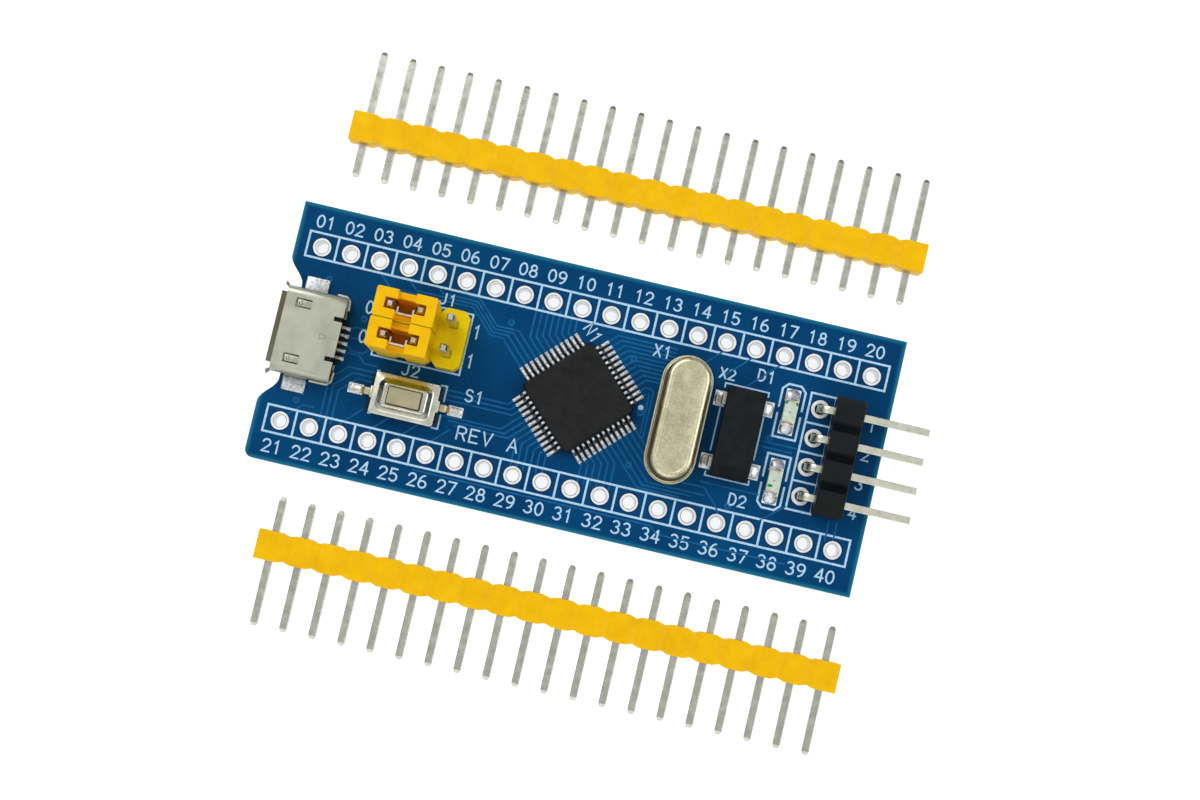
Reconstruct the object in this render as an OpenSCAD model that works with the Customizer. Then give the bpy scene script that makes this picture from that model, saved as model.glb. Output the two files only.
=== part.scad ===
// Small microcontroller development board with a micro USB socket, two boot
// jumpers, a reset button, a four-pin debug header and its two loose pin strips.
// Millimetres. Origin: centre of the 2 x 20 grid of pin holes, at the board's
// underside. +X runs from the USB end to the debug header, +Z out of the top.

/* [Board] */
// Length of the circuit board
board_len = 52.9; // [52.4:0.1:56]
// Width of the circuit board
board_wid = 22.4; // [20:0.1:26]
// Thickness of the circuit board
board_t = 1.6; // [1.2:0.1:2]
// Depth of the shallow recess in the board's edge at the USB socket
recess_depth = 1.4; // [0.8:0.1:2]
// Half the recess's width where it meets the board's edge
recess_half = 6.4; // [5.8:0.1:7]

/* [Pin holes] */
// Number of pin holes in each row
row_pins = 20; // [16:1:20]
// Distance between neighbouring pins
pitch = 2.54; // [2.54:0.01:2.54]
// Distance between the two rows of pin holes
row_gap = 15.24; // [15.24:2.54:17.78]
// Inner radius of a plated hole
hole_r = 0.5; // [0.48:0.01:0.52]
// Outer radius of the tinned ring around a hole
ring_r = 0.78; // [0.7:0.01:0.85]

/* [USB socket] */
// Width of the metal shell
usb_w = 7.4; // [7:0.1:7.8]
// Height of the metal shell
usb_h = 2.5; // [2.4:0.1:2.8]
// Length of the metal shell without its flared lips
usb_l = 5.1; // [4.8:0.1:5.4]

/* [Jumpers] */
// Height of a header's plastic base
base_h = 2.5; // [2.3:0.1:2.6]
// Length of a jumper pin above the plastic base
pin_over_base = 6; // [5.5:0.1:6.5]
// Length of a jumper cap over two pins
cap_len = 5.1; // [4.9:0.1:5.2]
// Width of a jumper cap
cap_wid = 2.48; // [2.2:0.02:2.5]
// Height of a jumper cap
cap_h = 6; // [5.6:0.1:6.4]

/* [Reset button] */
// Length of the button's plastic base
button_len = 6; // [5.8:0.1:6.2]
// Width of the button over its metal cover
button_wid = 3.6; // [3.4:0.1:3.8]
// Height of the plunger's top above the board
button_h = 2.5; // [2.4:0.1:2.6]

/* [Chips and crystals] */
// Side of the microcontroller's square plastic body
mcu_side = 7; // [6.8:0.1:7.2]
// Leads on each side of the microcontroller
mcu_pins = 12; // [8:1:12]
// Length of the main crystal's can over its flange
crystal_len = 11.2; // [11:0.1:11.4]
// Width of the main crystal's can over its flange
crystal_wid = 4.45; // [4.3:0.05:4.7]
// Height of the main crystal's can
crystal_h = 3.5; // [3.3:0.1:3.8]

/* [Debug header] */
// Number of pins in the debug header
debug_pins = 4; // [3:1:4]
// Reach of the debug pins beyond the centre of the board
debug_reach = 30.1; // [28:0.1:32]

/* [Loose pin strips] */
// Length of a strip's pins
strip_pin_len = 11.2; // [10.5:0.1:11.6]
// Length of the short side of a strip's pins
strip_short = 3; // [2.8:0.1:3.2]

/* [Hidden] */
$fn = 48;

// shared thicknesses and gaps
copper = 0.04;                  // tinned copper above the board's faces
top = board_t + copper;         // what the parts on the top stand on
eps = 0.01;
pin_w = 0.64;                   // square header pin
pin_tail = 1.45;                // pin ends below the board's underside
surface_z = -pin_tail;          // the surface that everything stands on
drill_r = hole_r + 0.06;        // hole in the laminate around the plating

// places on the board
boot_at = [-14.02, 2.3];
button_at = [-14.15, -3.47];
mcu_at = [0.12, 0.03];
crystal_at = [8.87, 0.19];
clock_at = [14.0, 0.08];
power_led_at = [17.95, 3.03];
user_led_at = [17.95, -3.07];
debug_at = [20.45, 0.05];

header_holes = [
    for (side = [-1, 1], i = [0:row_pins - 1])
        [(i - (row_pins - 1) / 2) * pitch, side * row_gap / 2]
];
boot_holes = [
    for (i = [-1:1], j = [-0.5, 0.5]) [boot_at.x + i * pitch, boot_at.y + j * pitch]
];
debug_holes = [
    for (i = [0:debug_pins - 1])
        [debug_at.x, debug_at.y + (i - (debug_pins - 1) / 2) * pitch]
];
crystal_lead_gap = 4.88;
crystal_holes = [
    for (j = [-0.5, 0.5]) [crystal_at.x, crystal_at.y + j * crystal_lead_gap]
];

// USB socket
usb_wall = 0.25;
usb_front = -25.75;
usb_rear = usb_front + usb_l;
usb_pitch = 0.65;
usb_ys = [for (i = [-2:2]) i * usb_pitch];
usb_tongue_z = top + 1.3;
tab_x = [-24.65, -22.75];

// jumper caps
cap_z = top + base_h + 0.06;
cap_x = boot_at.x - pitch / 2;
cap_slot = [3.45, 0.92];
cap_room = [4.3, 1.36];

// reset button
cover_t = 0.18;
cover_z = top + 1.25;
mesa_h = 0.55;
mesa_foot = [4.7, 2.95];
mesa_top = [3.8, 2.0];
plunger_size = [2.76, 1.4];
plunger_gap = 0.09;
button_lead_w = 0.6;

// microcontroller
lead_t = 0.13;
lead_w = 0.22;
lead_pitch = 0.5;
mcu_z = top + 0.1;
mcu_h = 1.4;
mcu_band = 0.16;
mcu_tip = mcu_side / 2 + 1;

// 32 kHz clock crystal in its plastic block
clock_size = [3.25, 7.75, 2.45];
clock_lead_y = 2.75;

// surface-mount chips on the underside: [x, y, turned]
regulator_at = [-20.4, 3.2];
capacitors = [
    [-7.2, 4.3, 0], [-7.2, 1.4, 0], [-7.2, -1.5, 0], [-7.2, -4.4, 0],
    [-3.2, -4.6, 1], [3.2, 4.6, 1], [5.6, -4.4, 0], [-20.4, -0.6, 0]
];
resistors = [
    [-20.4, -3, 0], [-17, -4.6, 0], [-12, -4.6, 0], [-3.2, 4.6, 1],
    [12.6, 4.2, 0], [12.6, 1.4, 0], [12.6, -1.4, 0], [12.6, -4.2, 0], [16.8, 2.6, 1]
];
chip_len = 1.6;
chip_wid = 0.8;
chip_end = 0.3;

// loose strips beside the board: [centre x, centre y, side of the long pins]
strip_a_at = [1.1, 18.66, 1];
strip_b_at = [1.7, -18.15, -1];
strip_side = 2.54;
strip_face_notch = [0.45, 0.16];
strip_side_notch = [0.6, 0.2];

// ---------------------------------------------------------------- helpers

// every child at each of the points
module at_each(points) {
    for (p = points) translate([p.x, p.y, 0]) children();
}

// a 2D shape in the X-Z plane, extruded along Y and centred on y = 0
module plate_xz(width) {
    translate([0, width / 2, 0]) rotate([90, 0, 0]) linear_extrude(width) children();
}

// a 2D shape in the Y-Z plane, extruded along X from x0 to x1
module bar_x(x0, x1) {
    translate([x0, 0, 0]) rotate([90, 0, 90]) linear_extrude(x1 - x0) children();
}

module block(size, z0) {
    translate([-size.x / 2, -size.y / 2, z0]) cube(size);
}

module rounded_rect(w, h, r) {
    square([w - 2 * r, h], center = true);
    square([w, h - 2 * r], center = true);
    for (x = [-1, 1], y = [-1, 1]) translate([x * (w / 2 - r), y * (h / 2 - r)]) circle(r);
}

// one plastic cell of a pin header, with its four corners cut
module cell(w, h, cut) {
    x = w / 2;
    y = h / 2;
    polygon([
        [-x + cut, -y], [x - cut, -y], [x, -y + cut], [x, y - cut],
        [x - cut, y], [-x + cut, y], [-x, y - cut], [-x, -y + cut]
    ]);
}

// side view of a straight pin from z0 to z1, with bevelled tips
module pin_side(z0, z1) {
    w = pin_w / 2;
    tip = w * 0.55;
    bevel = 0.3;
    polygon([
        [-tip, z0], [tip, z0], [w, z0 + bevel], [w, z1 - bevel],
        [tip, z1], [-tip, z1], [-w, z1 - bevel], [-w, z0 + bevel]
    ]);
}

// upright square pin from z0 to z1, with four-sided tips
module pin(z0, z1) {
    intersection() {
        plate_xz(pin_w) pin_side(z0, z1);
        rotate([0, 0, 90]) plate_xz(pin_w) pin_side(z0, z1);
    }
}

// bent lead seen from the side: from the body at x0 down to a foot that ends at x1
module gull_wing(x0, x1, z0, z1, t, knee, foot) {
    polygon([
        [x0, z1 - t], [knee - t, z1 - t], [foot - t * 0.4, z0], [x1, z0],
        [x1, z0 + t], [foot + t * 0.6, z0 + t], [knee, z1], [x0, z1]
    ]);
}

// straight wall with round ends, long along Y
module stadium(len, wid) {
    square([wid, len - wid], center = true);
    for (s = [-1, 1]) translate([0, s * (len - wid) / 2]) circle(wid / 2);
}

// ---------------------------------------------------------------- board

module board_outline() {
    steps = 10;
    corner = 0.7;
    x_edge = -board_len / 2;
    slope = 2.3;
    difference() {
        square([board_len, board_wid], center = true);
        polygon([
            [x_edge - 1, recess_half],
            for (i = [0:steps])
                [x_edge + recess_depth * (1 - cos(180 * i / steps)) / 2,
                 recess_half - slope * i / steps],
            for (i = [steps:-1:0])
                [x_edge + recess_depth * (1 - cos(180 * i / steps)) / 2,
                 -recess_half + slope * i / steps],
            [x_edge - 1, -recess_half]
        ]);
        translate([x_edge, -board_wid / 2]) difference() {
            translate([-1, -1]) square(corner + 1);
            translate([corner, corner]) circle(corner);
        }
    }
}

module pcb() {
    color("#00487e") difference() {
        linear_extrude(board_t) board_outline();
        at_each(concat(header_holes, boot_holes, debug_holes, crystal_holes))
            translate([0, 0, -1]) cylinder(r = drill_r, h = board_t + 2);
    }
}

// plated barrel with a ring on both faces of the board
module plated_hole() {
    rotate_extrude() polygon([
        [hole_r, -copper], [ring_r, -copper], [ring_r, 0], [drill_r, 0],
        [drill_r, board_t], [ring_r, board_t], [ring_r, top], [hole_r, top]
    ]);
}

module hole_rings() {
    color("#c8ccca")
        at_each(concat(header_holes, boot_holes, debug_holes, crystal_holes)) plated_hole();
}

module pad(x, y, w, l) {
    translate([x - w / 2, y - l / 2, board_t]) cube([w, l, copper]);
}

module under_pad(x, y, w, l) {
    translate([x - w / 2, y - l / 2, -copper]) cube([w, l, copper]);
}

module surface_pads() {
    color("#c9cccb") {
        for (s = [-1, 1]) pad(-23.7, s * 4.38, 2, 1.24);
        for (y = usb_ys) pad(-20.45, y, 0.7, 0.32);
        for (s = [-1, 1]) pad(button_at.x + s * 4.35, button_at.y, 1.3, 0.86);
        translate([mcu_at.x, mcu_at.y, 0]) rotate([0, 0, 45])
            for (side = [0:3], i = [0:mcu_pins - 1]) rotate([0, 0, 90 * side])
                pad(mcu_tip - 0.18, (i - (mcu_pins - 1) / 2) * lead_pitch, 1, 0.25);
        for (sx = [-1, 1], sy = [-1, 1])
            pad(clock_at.x + sx * 1.98, clock_at.y + sy * clock_lead_y, 1.2, 1.32);
        for (p = [power_led_at, user_led_at], s = [-1, 1])
            pad(p.x, p.y + s * 1.42, 1.25, 1.1);
        for (p = concat(capacitors, resistors), s = [-1, 1])
            if (p.z == 1) under_pad(p.x, p.y + s * 0.8, 0.9, 0.8);
            else under_pad(p.x + s * 0.8, p.y, 0.8, 0.9);
        for (i = [-1:1]) under_pad(regulator_at.x + i * 0.95, regulator_at.y - 1.3, 0.6, 0.9);
        for (i = [-1, 1]) under_pad(regulator_at.x + i * 0.95, regulator_at.y + 1.3, 0.6, 0.9);
    }
}

// cone of solder around a pin's tail on the underside
module solder_cone() {
    rotate_extrude() polygon([
        [0, -0.62], [0.5, -0.62], [0.58, -0.3], [ring_r - 0.02, -copper], [0, -copper]
    ]);
}

module solder_joints() {
    color("#b9bcbb") {
        at_each(concat(boot_holes, debug_holes)) difference() {
            solder_cone();
            block([pin_w, pin_w, 2], -1.5);
        }
        at_each(crystal_holes) difference() {
            solder_cone();
            translate([0, 0, -1.5]) cylinder(r = crystal_lead_r, h = 2);
        }
    }
}

// ---------------------------------------------------------------- USB socket

// cross-section of the shell, made smaller all round by an inset
module usb_profile(inset) {
    w = usb_w - 2 * inset;
    h = usb_h - 2 * inset;
    r = 0.6 - inset;
    cut = 1.1 - inset * 0.6;
    translate([0, top + usb_h / 2]) intersection() {
        rounded_rect(w, h, r);
        polygon([
            [-w / 2 + cut, -h / 2], [w / 2 - cut, -h / 2], [w / 2, -h / 2 + cut],
            [w / 2, h / 2], [-w / 2, h / 2], [-w / 2, -h / 2 + cut]
        ]);
    }
}

// lip bent outwards at the mouth: a sheared strip in its own plane
module usb_lip(width, at, up) {
    translate([usb_front, 0, 0]) plate_xz(width) polygon([
        [0, at], [0, at + up * usb_wall],
        [-0.38, at + up * (usb_wall + 0.34)], [-0.44, at + up * 0.3]
    ]);
}

module usb_shell() {
    window = [1.35, 0.8];
    inner_top = top + usb_h - usb_wall;
    color("#b8b4a6") difference() {
        union() {
            bar_x(usb_front, usb_rear) usb_profile(0);
            usb_lip(6.1, inner_top, 1);
            usb_lip(4.4, top + usb_wall, -1);
            for (s = [-1, 1]) {
                // side lips of the mouth
                translate([usb_front, s * (usb_w / 2 - usb_wall), top + 1.2])
                    linear_extrude(0.8) polygon([
                        [0, 0], [0, s * usb_wall], [-0.3, s * (usb_wall + 0.3)], [-0.36, s * 0.26]
                    ]);
                // solder tabs
                translate([tab_x[0], s > 0 ? 2.6 : -4.85, top])
                    cube([tab_x[1] - tab_x[0], 2.25, 0.25]);
            }
        }
        bar_x(usb_front - 1, usb_rear + 1) usb_profile(usb_wall);
        for (s = [-1, 1]) {
            // latch windows in the top
            translate([-24.85, s * 2.38 - window.y / 2, inner_top - 0.1])
                cube([window.x, window.y, 1]);
            // notches beside the rear flap
            translate([usb_rear - 0.75, s * 1.72 - 0.2, inner_top - 0.1])
                cube([1, 0.4, 1]);
        }
        // the floor stops short of the leads
        translate([usb_rear - 0.9, -2, top - 1]) cube([2, 4, 1.4]);
    }
}

module usb_contact_side() {
    t = 0.15;
    bend_z = top + 0.45;
    translate([-24.9, usb_tongue_z - t]) square([3.6, t]);
    translate([-21.45, bend_z]) square([t, usb_tongue_z - bend_z]);
    translate([-21.45, bend_z]) square([-20.5 + 21.45, t]);
    translate([-20.65, top]) square([t, bend_z + t - top]);
    translate([-20.65, top]) square([0.42, t]);
}

module usb_contact_set() {
    for (y = usb_ys) translate([0, y, 0]) plate_xz(0.24) usb_contact_side();
}

module usb_contacts() {
    color("#c9b98a") usb_contact_set();
}

module usb_insulator() {
    color("#202123") difference() {
        union() {
            bar_x(usb_rear - 1.35, usb_rear - 0.16) usb_profile(usb_wall + 0.02);
            translate([-25.1, -1.85, usb_tongue_z - 0.15]) cube([3.4, 3.7, 0.6]);
        }
        usb_contact_set();
        translate([usb_rear - 0.9, -1.98, top - 1]) cube([2, 3.96, 1.42]);
    }
}

// ---------------------------------------------------------------- boot jumpers

module boot_header_base() {
    color("#e8b400") difference() {
        translate([0, 0, top]) linear_extrude(base_h)
            for (i = [-1:1]) translate([boot_at.x + i * pitch, boot_at.y])
                cell(pitch, 2 * pitch, 0.5);
        at_each(boot_holes) block([pin_w, pin_w, base_h + 2], top - 1);
    }
}

module boot_header_pins() {
    color("#cfc9b4") at_each(boot_holes) pin(-pin_tail, top + base_h + pin_over_base);
}

// cap open at the bottom, with a slot and a cross groove in its top
module jumper_cap(y) {
    roof = 1.1;
    groove = [1.52, 1.9];
    color("#f2bd00") translate([cap_x, y, cap_z]) difference() {
        linear_extrude(cap_h) rounded_rect(cap_len, cap_wid, 0.2);
        block([cap_room.x, cap_room.y, cap_h - roof + 1], -1);
        block([cap_slot.x, cap_slot.y, cap_h + 2], -1);
        block([groove.x, cap_wid + 1, groove.y + 1], cap_h - groove.y);
    }
}

// spring clip inside a cap: a back strip, two curled ends and two inner legs
module jumper_clip(y) {
    t = 0.16;
    h = 4.2;
    half = cap_room.x / 2 - 0.03;
    back = -cap_room.y / 2 + 0.03;
    color("#d8d5cc") translate([cap_x, y, cap_z + 0.5]) linear_extrude(h) {
        translate([-half, back]) square([2 * half, t]);
        for (s = [-1, 1]) {
            translate([s > 0 ? half - t : -half, back]) square([t, -2 * back]);
            translate([s > 0 ? half - 1.2 : -half, -back - t]) square([1.2, t]);
            translate([s * 0.66 - t / 2, back]) square([t, 0.62]);
        }
    }
}

module jumper_a_cap() { jumper_cap(boot_at.y + pitch / 2); }
module jumper_a_clip() { jumper_clip(boot_at.y + pitch / 2); }
module jumper_b_cap() { jumper_cap(boot_at.y - pitch / 2); }
module jumper_b_clip() { jumper_clip(boot_at.y - pitch / 2); }

// ---------------------------------------------------------------- reset button

module on_button() {
    translate([button_at.x, button_at.y, 0]) children();
}

module button_lead_set() {
    for (a = [0, 180]) rotate([0, 0, a]) plate_xz(button_lead_w)
        gull_wing(2.3, 4.6, top, top + 0.62, 0.15, 3.55, 3.75);
}

module reset_base() {
    color("#1d1e20") on_button() difference() {
        block([button_len, button_wid - 2 * cover_t - 0.04, cover_z - top - eps], top);
        block([4.1, 2.3, 2], top + 0.55);
        button_lead_set();
    }
}

module reset_leads() {
    color("#c7c6bd") on_button() button_lead_set();
}

// snap dome that closes the contact and pushes the plunger back
module reset_dome() {
    rise = 0.28;
    half = 1.05;
    ball_r = (half * half + rise * rise) / (2 * rise);
    t = 0.06;
    z0 = top + 0.62;
    color("#b9bbb8") on_button() intersection() {
        translate([0, 0, z0 + rise - ball_r]) difference() {
            sphere(ball_r);
            sphere(ball_r - t);
        }
        translate([0, 0, z0]) cylinder(r = half, h = 1);
    }
}

// four-sided mesa, wide at its foot
module mesa(shrink) {
    hull() {
        block([mesa_foot.x - 2 * shrink, mesa_foot.y - 2 * shrink, eps], cover_z - shrink * 0.4);
        block([mesa_top.x - 1.4 * shrink, mesa_top.y - 1.4 * shrink, eps],
              cover_z + cover_t + mesa_h - eps - shrink);
    }
}

module reset_cover() {
    wid = button_wid;
    len = button_len - 0.4;
    color("#b9b6ab") on_button() difference() {
        union() {
            block([len, wid, cover_t], cover_z);
            for (s = [-1, 1]) translate([0, s * (wid - cover_t) / 2, 0])
                block([len, cover_t, cover_z - top - 0.25 + eps], top + 0.25);
            for (s = [-1, 1]) translate([s * len / 2, 0, 0]) block([0.4, 1, cover_t], cover_z);
            mesa(0);
        }
        mesa(cover_t);
        block([mesa_foot.x - 2 * cover_t, mesa_foot.y - 2 * cover_t, cover_t * 0.6], cover_z - eps);
        block([plunger_size.x + 2 * plunger_gap, plunger_size.y + 2 * plunger_gap, 3], cover_z);
    }
}

module reset_plunger() {
    flange = 0.22;
    z_flange = cover_z + mesa_h - cover_t - 0.34;
    color("#b3ad93") on_button() {
        block([plunger_size.x, plunger_size.y, top + button_h - z_flange], z_flange);
        block([plunger_size.x + 2 * flange, plunger_size.y + 2 * flange, 0.24], z_flange);
        translate([0, 0, top + 0.94]) cylinder(r = 0.55, h = z_flange - top - 0.94 + eps);
    }
}

// ---------------------------------------------------------------- microcontroller

module on_mcu() {
    translate([mcu_at.x, mcu_at.y, 0]) rotate([0, 0, 45]) children();
}

// square slab with cut corners
module mcu_slab(side, z, h) {
    translate([0, 0, z]) linear_extrude(h) cell(side, side, 0.18);
}

module mcu_body() {
    band_z = mcu_z + (mcu_h - mcu_band) / 2;
    draft = 0.16;
    color("#26282a") on_mcu() difference() {
        union() {
            mcu_slab(mcu_side, band_z, mcu_band);
            hull() {
                mcu_slab(mcu_side - 2 * draft, mcu_z, eps);
                mcu_slab(mcu_side, band_z - eps, eps);
            }
            hull() {
                mcu_slab(mcu_side, band_z + mcu_band, eps);
                mcu_slab(mcu_side - 2 * draft, mcu_z + mcu_h - eps, eps);
            }
        }
        // shallow mark beside the first lead
        translate([mcu_side / 2 - 0.95, -mcu_side / 2 + 0.95, mcu_z + mcu_h - 0.05])
            cylinder(r = 0.42, h = 1);
    }
}

module mcu_leads() {
    band_z = mcu_z + (mcu_h - lead_t) / 2;
    color("#c9ccca") on_mcu()
        for (side = [0:3], i = [0:mcu_pins - 1]) rotate([0, 0, 90 * side])
            translate([0, (i - (mcu_pins - 1) / 2) * lead_pitch, 0]) plate_xz(lead_w)
                gull_wing(mcu_side / 2, mcu_tip, top, band_z + lead_t, lead_t,
                          mcu_side / 2 + 0.3, mcu_side / 2 + 0.5);
}

// ---------------------------------------------------------------- crystals

crystal_lead_r = 0.215;
crystal_base_z = top + 0.06;
crystal_base_t = 0.3;
can_wall = 0.25;
can_r = 1.85;
flange_t = 0.3;

// upper profile of the can: a wall with a rounded shoulder
module can_profile(r, h, shoulder) {
    square([r - shoulder, h]);
    square([r, h - shoulder]);
    translate([r - shoulder, h - shoulder]) circle(shoulder);
}

module can_shape(r, h, shoulder, straight) {
    for (s = [-1, 1]) translate([0, s * straight / 2, 0])
        rotate_extrude() intersection() {
            can_profile(r, h, shoulder);
            square([r + 1, h + 1]);
        }
    plate_xz(straight) for (m = [0, 1]) mirror([m, 0]) can_profile(r, h, shoulder);
}

module on_crystal(z) {
    translate([crystal_at.x, crystal_at.y, z]) children();
}

module crystal_can() {
    h = crystal_h - crystal_base_t;
    straight = crystal_len - crystal_wid;
    color("#bdb9a4") on_crystal(crystal_base_z + crystal_base_t) difference() {
        union() {
            linear_extrude(flange_t) stadium(crystal_len, crystal_wid);
            can_shape(can_r, h, 0.45, straight);
        }
        translate([0, 0, -eps]) can_shape(can_r - can_wall, h - can_wall, 0.25, straight);
    }
}

module crystal_base() {
    color("#a9a797") difference() {
        on_crystal(crystal_base_z) linear_extrude(crystal_base_t)
            stadium(crystal_len, crystal_wid);
        at_each(crystal_holes) cylinder(r = crystal_lead_r, h = 5);
    }
}

module crystal_leads() {
    color("#c4c3ba") at_each(crystal_holes)
        translate([0, 0, -1.2]) cylinder(r = crystal_lead_r, h = crystal_base_z + 2.2);
}

// quartz strip held between the two leads inside the can
module crystal_blank() {
    color("#dfe6ea") on_crystal(crystal_base_z + 1.0 + eps)
        block([0.14, 6.4, 1.6], 0);
}

module clock_crystal_body() {
    w = clock_size.y / 2;
    h = clock_size.z;
    color("#1c1d1f") translate([clock_at.x, clock_at.y, top + 0.05]) difference() {
        rotate([0, 0, 90]) plate_xz(clock_size.x) polygon([
            [-w, 0], [w, 0], [w - 0.05, h - 0.1], [w - 0.15, h],
            [-w + 0.9, h], [-w, h - 0.95]
        ]);
        translate([0, 0, -top - 0.05]) clock_lead_set();
    }
}

module clock_lead_set() {
    for (a = [0, 180], sy = [-1, 1]) rotate([0, 0, a]) translate([0, sy * clock_lead_y, 0])
        plate_xz(0.9) gull_wing(clock_size.x / 2 - 0.3, clock_size.x / 2 + 0.75, top,
                                top + 0.75, 0.16, clock_size.x / 2 + 0.28,
                                clock_size.x / 2 + 0.3);
}

module clock_crystal_leads() {
    color("#c7c9c7") translate([clock_at.x, clock_at.y, 0]) clock_lead_set();
}

// ---------------------------------------------------------------- LEDs

led_len = 2.5;
led_wid = 1.22;
led_end = 0.28;
lens_foot = led_len / 2 - led_end - 0.01;

module led_base(p) {
    color("#e6e4d8") translate([p.x, p.y, 0])
        block([led_wid - 0.08, led_len - 2 * led_end, 0.36], top + eps);
}

module led_lens(p) {
    color("#f2efdc") translate([p.x, p.y, top + 0.36 + eps]) rotate([0, 0, 90])
        plate_xz(led_wid - 0.08) polygon([
            [-lens_foot, 0], [lens_foot, 0], [lens_foot - 0.08, 0.42], [-lens_foot + 0.08, 0.42]
        ]);
}

module led_ends(p) {
    color("#cfcfc6") translate([p.x, p.y, 0]) for (s = [-1, 1])
        translate([0, s * (led_len - led_end) / 2, 0])
            block([led_wid, led_end, 0.42], top);
}

module power_led_base() { led_base(power_led_at); }
module power_led_lens() { led_lens(power_led_at); }
module power_led_ends() { led_ends(power_led_at); }
module user_led_base() { led_base(user_led_at); }
module user_led_lens() { led_lens(user_led_at); }
module user_led_ends() { led_ends(user_led_at); }

// ---------------------------------------------------------------- debug header

debug_body_x = [21.55, 24.05];
debug_pin_z = top + pitch / 2;

module debug_header_body() {
    ys = [for (p = debug_holes) p.y];
    color("#1b1c1e") bar_x(debug_body_x[0], debug_body_x[1]) difference() {
        for (y = ys) translate([y, debug_pin_z]) cell(pitch, pitch, 0.42);
        for (y = ys) translate([y, debug_pin_z]) square(pin_w, center = true);
    }
}

// right-angle pin seen from the side: a leg, a quarter bend and the reach
module debug_pin_side() {
    w = pin_w / 2;
    bend = 0.95;
    x0 = debug_at.x;
    tip = 0.3;
    polygon([
        [x0 - w * 0.55, -pin_tail], [x0 + w * 0.55, -pin_tail], [x0 + w, -pin_tail + tip],
        [x0 + w, debug_pin_z + w - bend], [x0 - w, debug_pin_z + w - bend],
        [x0 - w, -pin_tail + tip]
    ]);
    translate([x0 - w + bend, debug_pin_z + w - bend]) intersection() {
        difference() {
            circle(bend);
            circle(bend - pin_w);
        }
        translate([-bend, 0]) square(bend);
    }
    polygon([
        [x0 - w + bend, debug_pin_z - w], [debug_reach - tip, debug_pin_z - w],
        [debug_reach, debug_pin_z - w * 0.55], [debug_reach, debug_pin_z + w * 0.55],
        [debug_reach - tip, debug_pin_z + w], [x0 - w + bend, debug_pin_z + w]
    ]);
}

module debug_header_pins() {
    color("#cfccbd") for (p = debug_holes) translate([0, p.y, 0])
        plate_xz(pin_w) debug_pin_side();
}

// ---------------------------------------------------------------- underside

module on_regulator() {
    translate([regulator_at.x, regulator_at.y, 0]) mirror([0, 0, 1]) children();
}

module regulator_lead_set() {
    for (x = [-0.95, 0, 0.95]) translate([x, 0, 0]) rotate([0, 0, -90])
        plate_xz(0.4) gull_wing(0.6, 1.45, copper, copper + 0.62, 0.13, 1.05, 1.15);
    for (x = [-0.95, 0.95]) translate([x, 0, 0]) rotate([0, 0, 90])
        plate_xz(0.4) gull_wing(0.6, 1.45, copper, copper + 0.62, 0.13, 1.05, 1.15);
}

module regulator_body() {
    color("#232426") on_regulator() difference() {
        hull() {
            block([2.8, 1.5, eps], copper + 0.08);
            block([2.9, 1.6, 0.1], copper + 0.5);
            block([2.75, 1.45, eps], copper + 1.1);
        }
        regulator_lead_set();
    }
}

module regulator_leads() {
    color("#c5c7c5") on_regulator() regulator_lead_set();
}

// every child at the underside places, long along X, or along Y where turned
module under_chips(places) {
    for (p = places) translate([p.x, p.y, 0]) rotate([0, 0, 90 * p.z]) mirror([0, 0, 1])
        children();
}

module capacitor_bodies() {
    color("#b08a5e") under_chips(capacitors)
        block([chip_len - 2 * chip_end, chip_wid - 0.04, 0.76], copper + 0.02);
}

module resistor_bodies() {
    color("#1f2023") under_chips(resistors)
        block([chip_len - 2 * chip_end, chip_wid - 0.04, 0.42], copper + 0.02);
}

module chip_end_pair(h) {
    for (s = [-1, 1]) translate([s * (chip_len - chip_end) / 2, 0, 0])
        block([chip_end, chip_wid, h], copper);
}

module chip_ends() {
    color("#c9cac8") {
        under_chips(capacitors) chip_end_pair(0.8);
        under_chips(resistors) chip_end_pair(0.45);
    }
}

// ---------------------------------------------------------------- loose strips

strip_pin_z = surface_z + strip_side / 2;

module strip_xs(place) {
    for (i = [0:row_pins - 1])
        translate([place.x + (i - (row_pins - 1) / 2) * pitch, 0, 0]) children();
}

// row of cells with notches between them; the two snapped ends are plain
module strip_outline(place, notch) {
    end_w = 0.9;
    strip_xs(place) notched_cell(notch);
    for (s = [-1, 1]) translate([place.x + s * (row_pins * pitch - end_w) / 2, 0])
        square([end_w, strip_side], center = true);
}

module notched_cell(notch) {
    x = pitch / 2;
    y = strip_side / 2;
    polygon([
        [-x + notch.x, -y], [x - notch.x, -y], [x, -y + notch.y], [x, y - notch.y],
        [x - notch.x, y], [-x + notch.x, y], [-x, y - notch.y], [-x, -y + notch.y]
    ]);
}

module strip_bar(place) {
    color("#f2bd00") translate([0, place.y, strip_pin_z]) difference() {
        intersection() {
            plate_xz(strip_side) strip_outline(place, strip_face_notch);
            translate([0, 0, -strip_side]) linear_extrude(2 * strip_side)
                strip_outline(place, strip_side_notch);
        }
        plate_xz(strip_side + 1) strip_xs(place) square(pin_w, center = true);
    }
}

module strip_pins(place) {
    long = strip_pin_len - strip_side - strip_short;
    short_end = -strip_side / 2 - strip_short;
    long_end = strip_side / 2 + long;
    color("#b7b4a6") strip_xs(place) translate([0, place.y, strip_pin_z])
        rotate([-90 * place.z, 0, 0]) pin(short_end, long_end);
}

module strip_a_bar() { strip_bar(strip_a_at); }
module strip_a_pins() { strip_pins(strip_a_at); }
module strip_b_bar() { strip_bar(strip_b_at); }
module strip_b_pins() { strip_pins(strip_b_at); }

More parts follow.
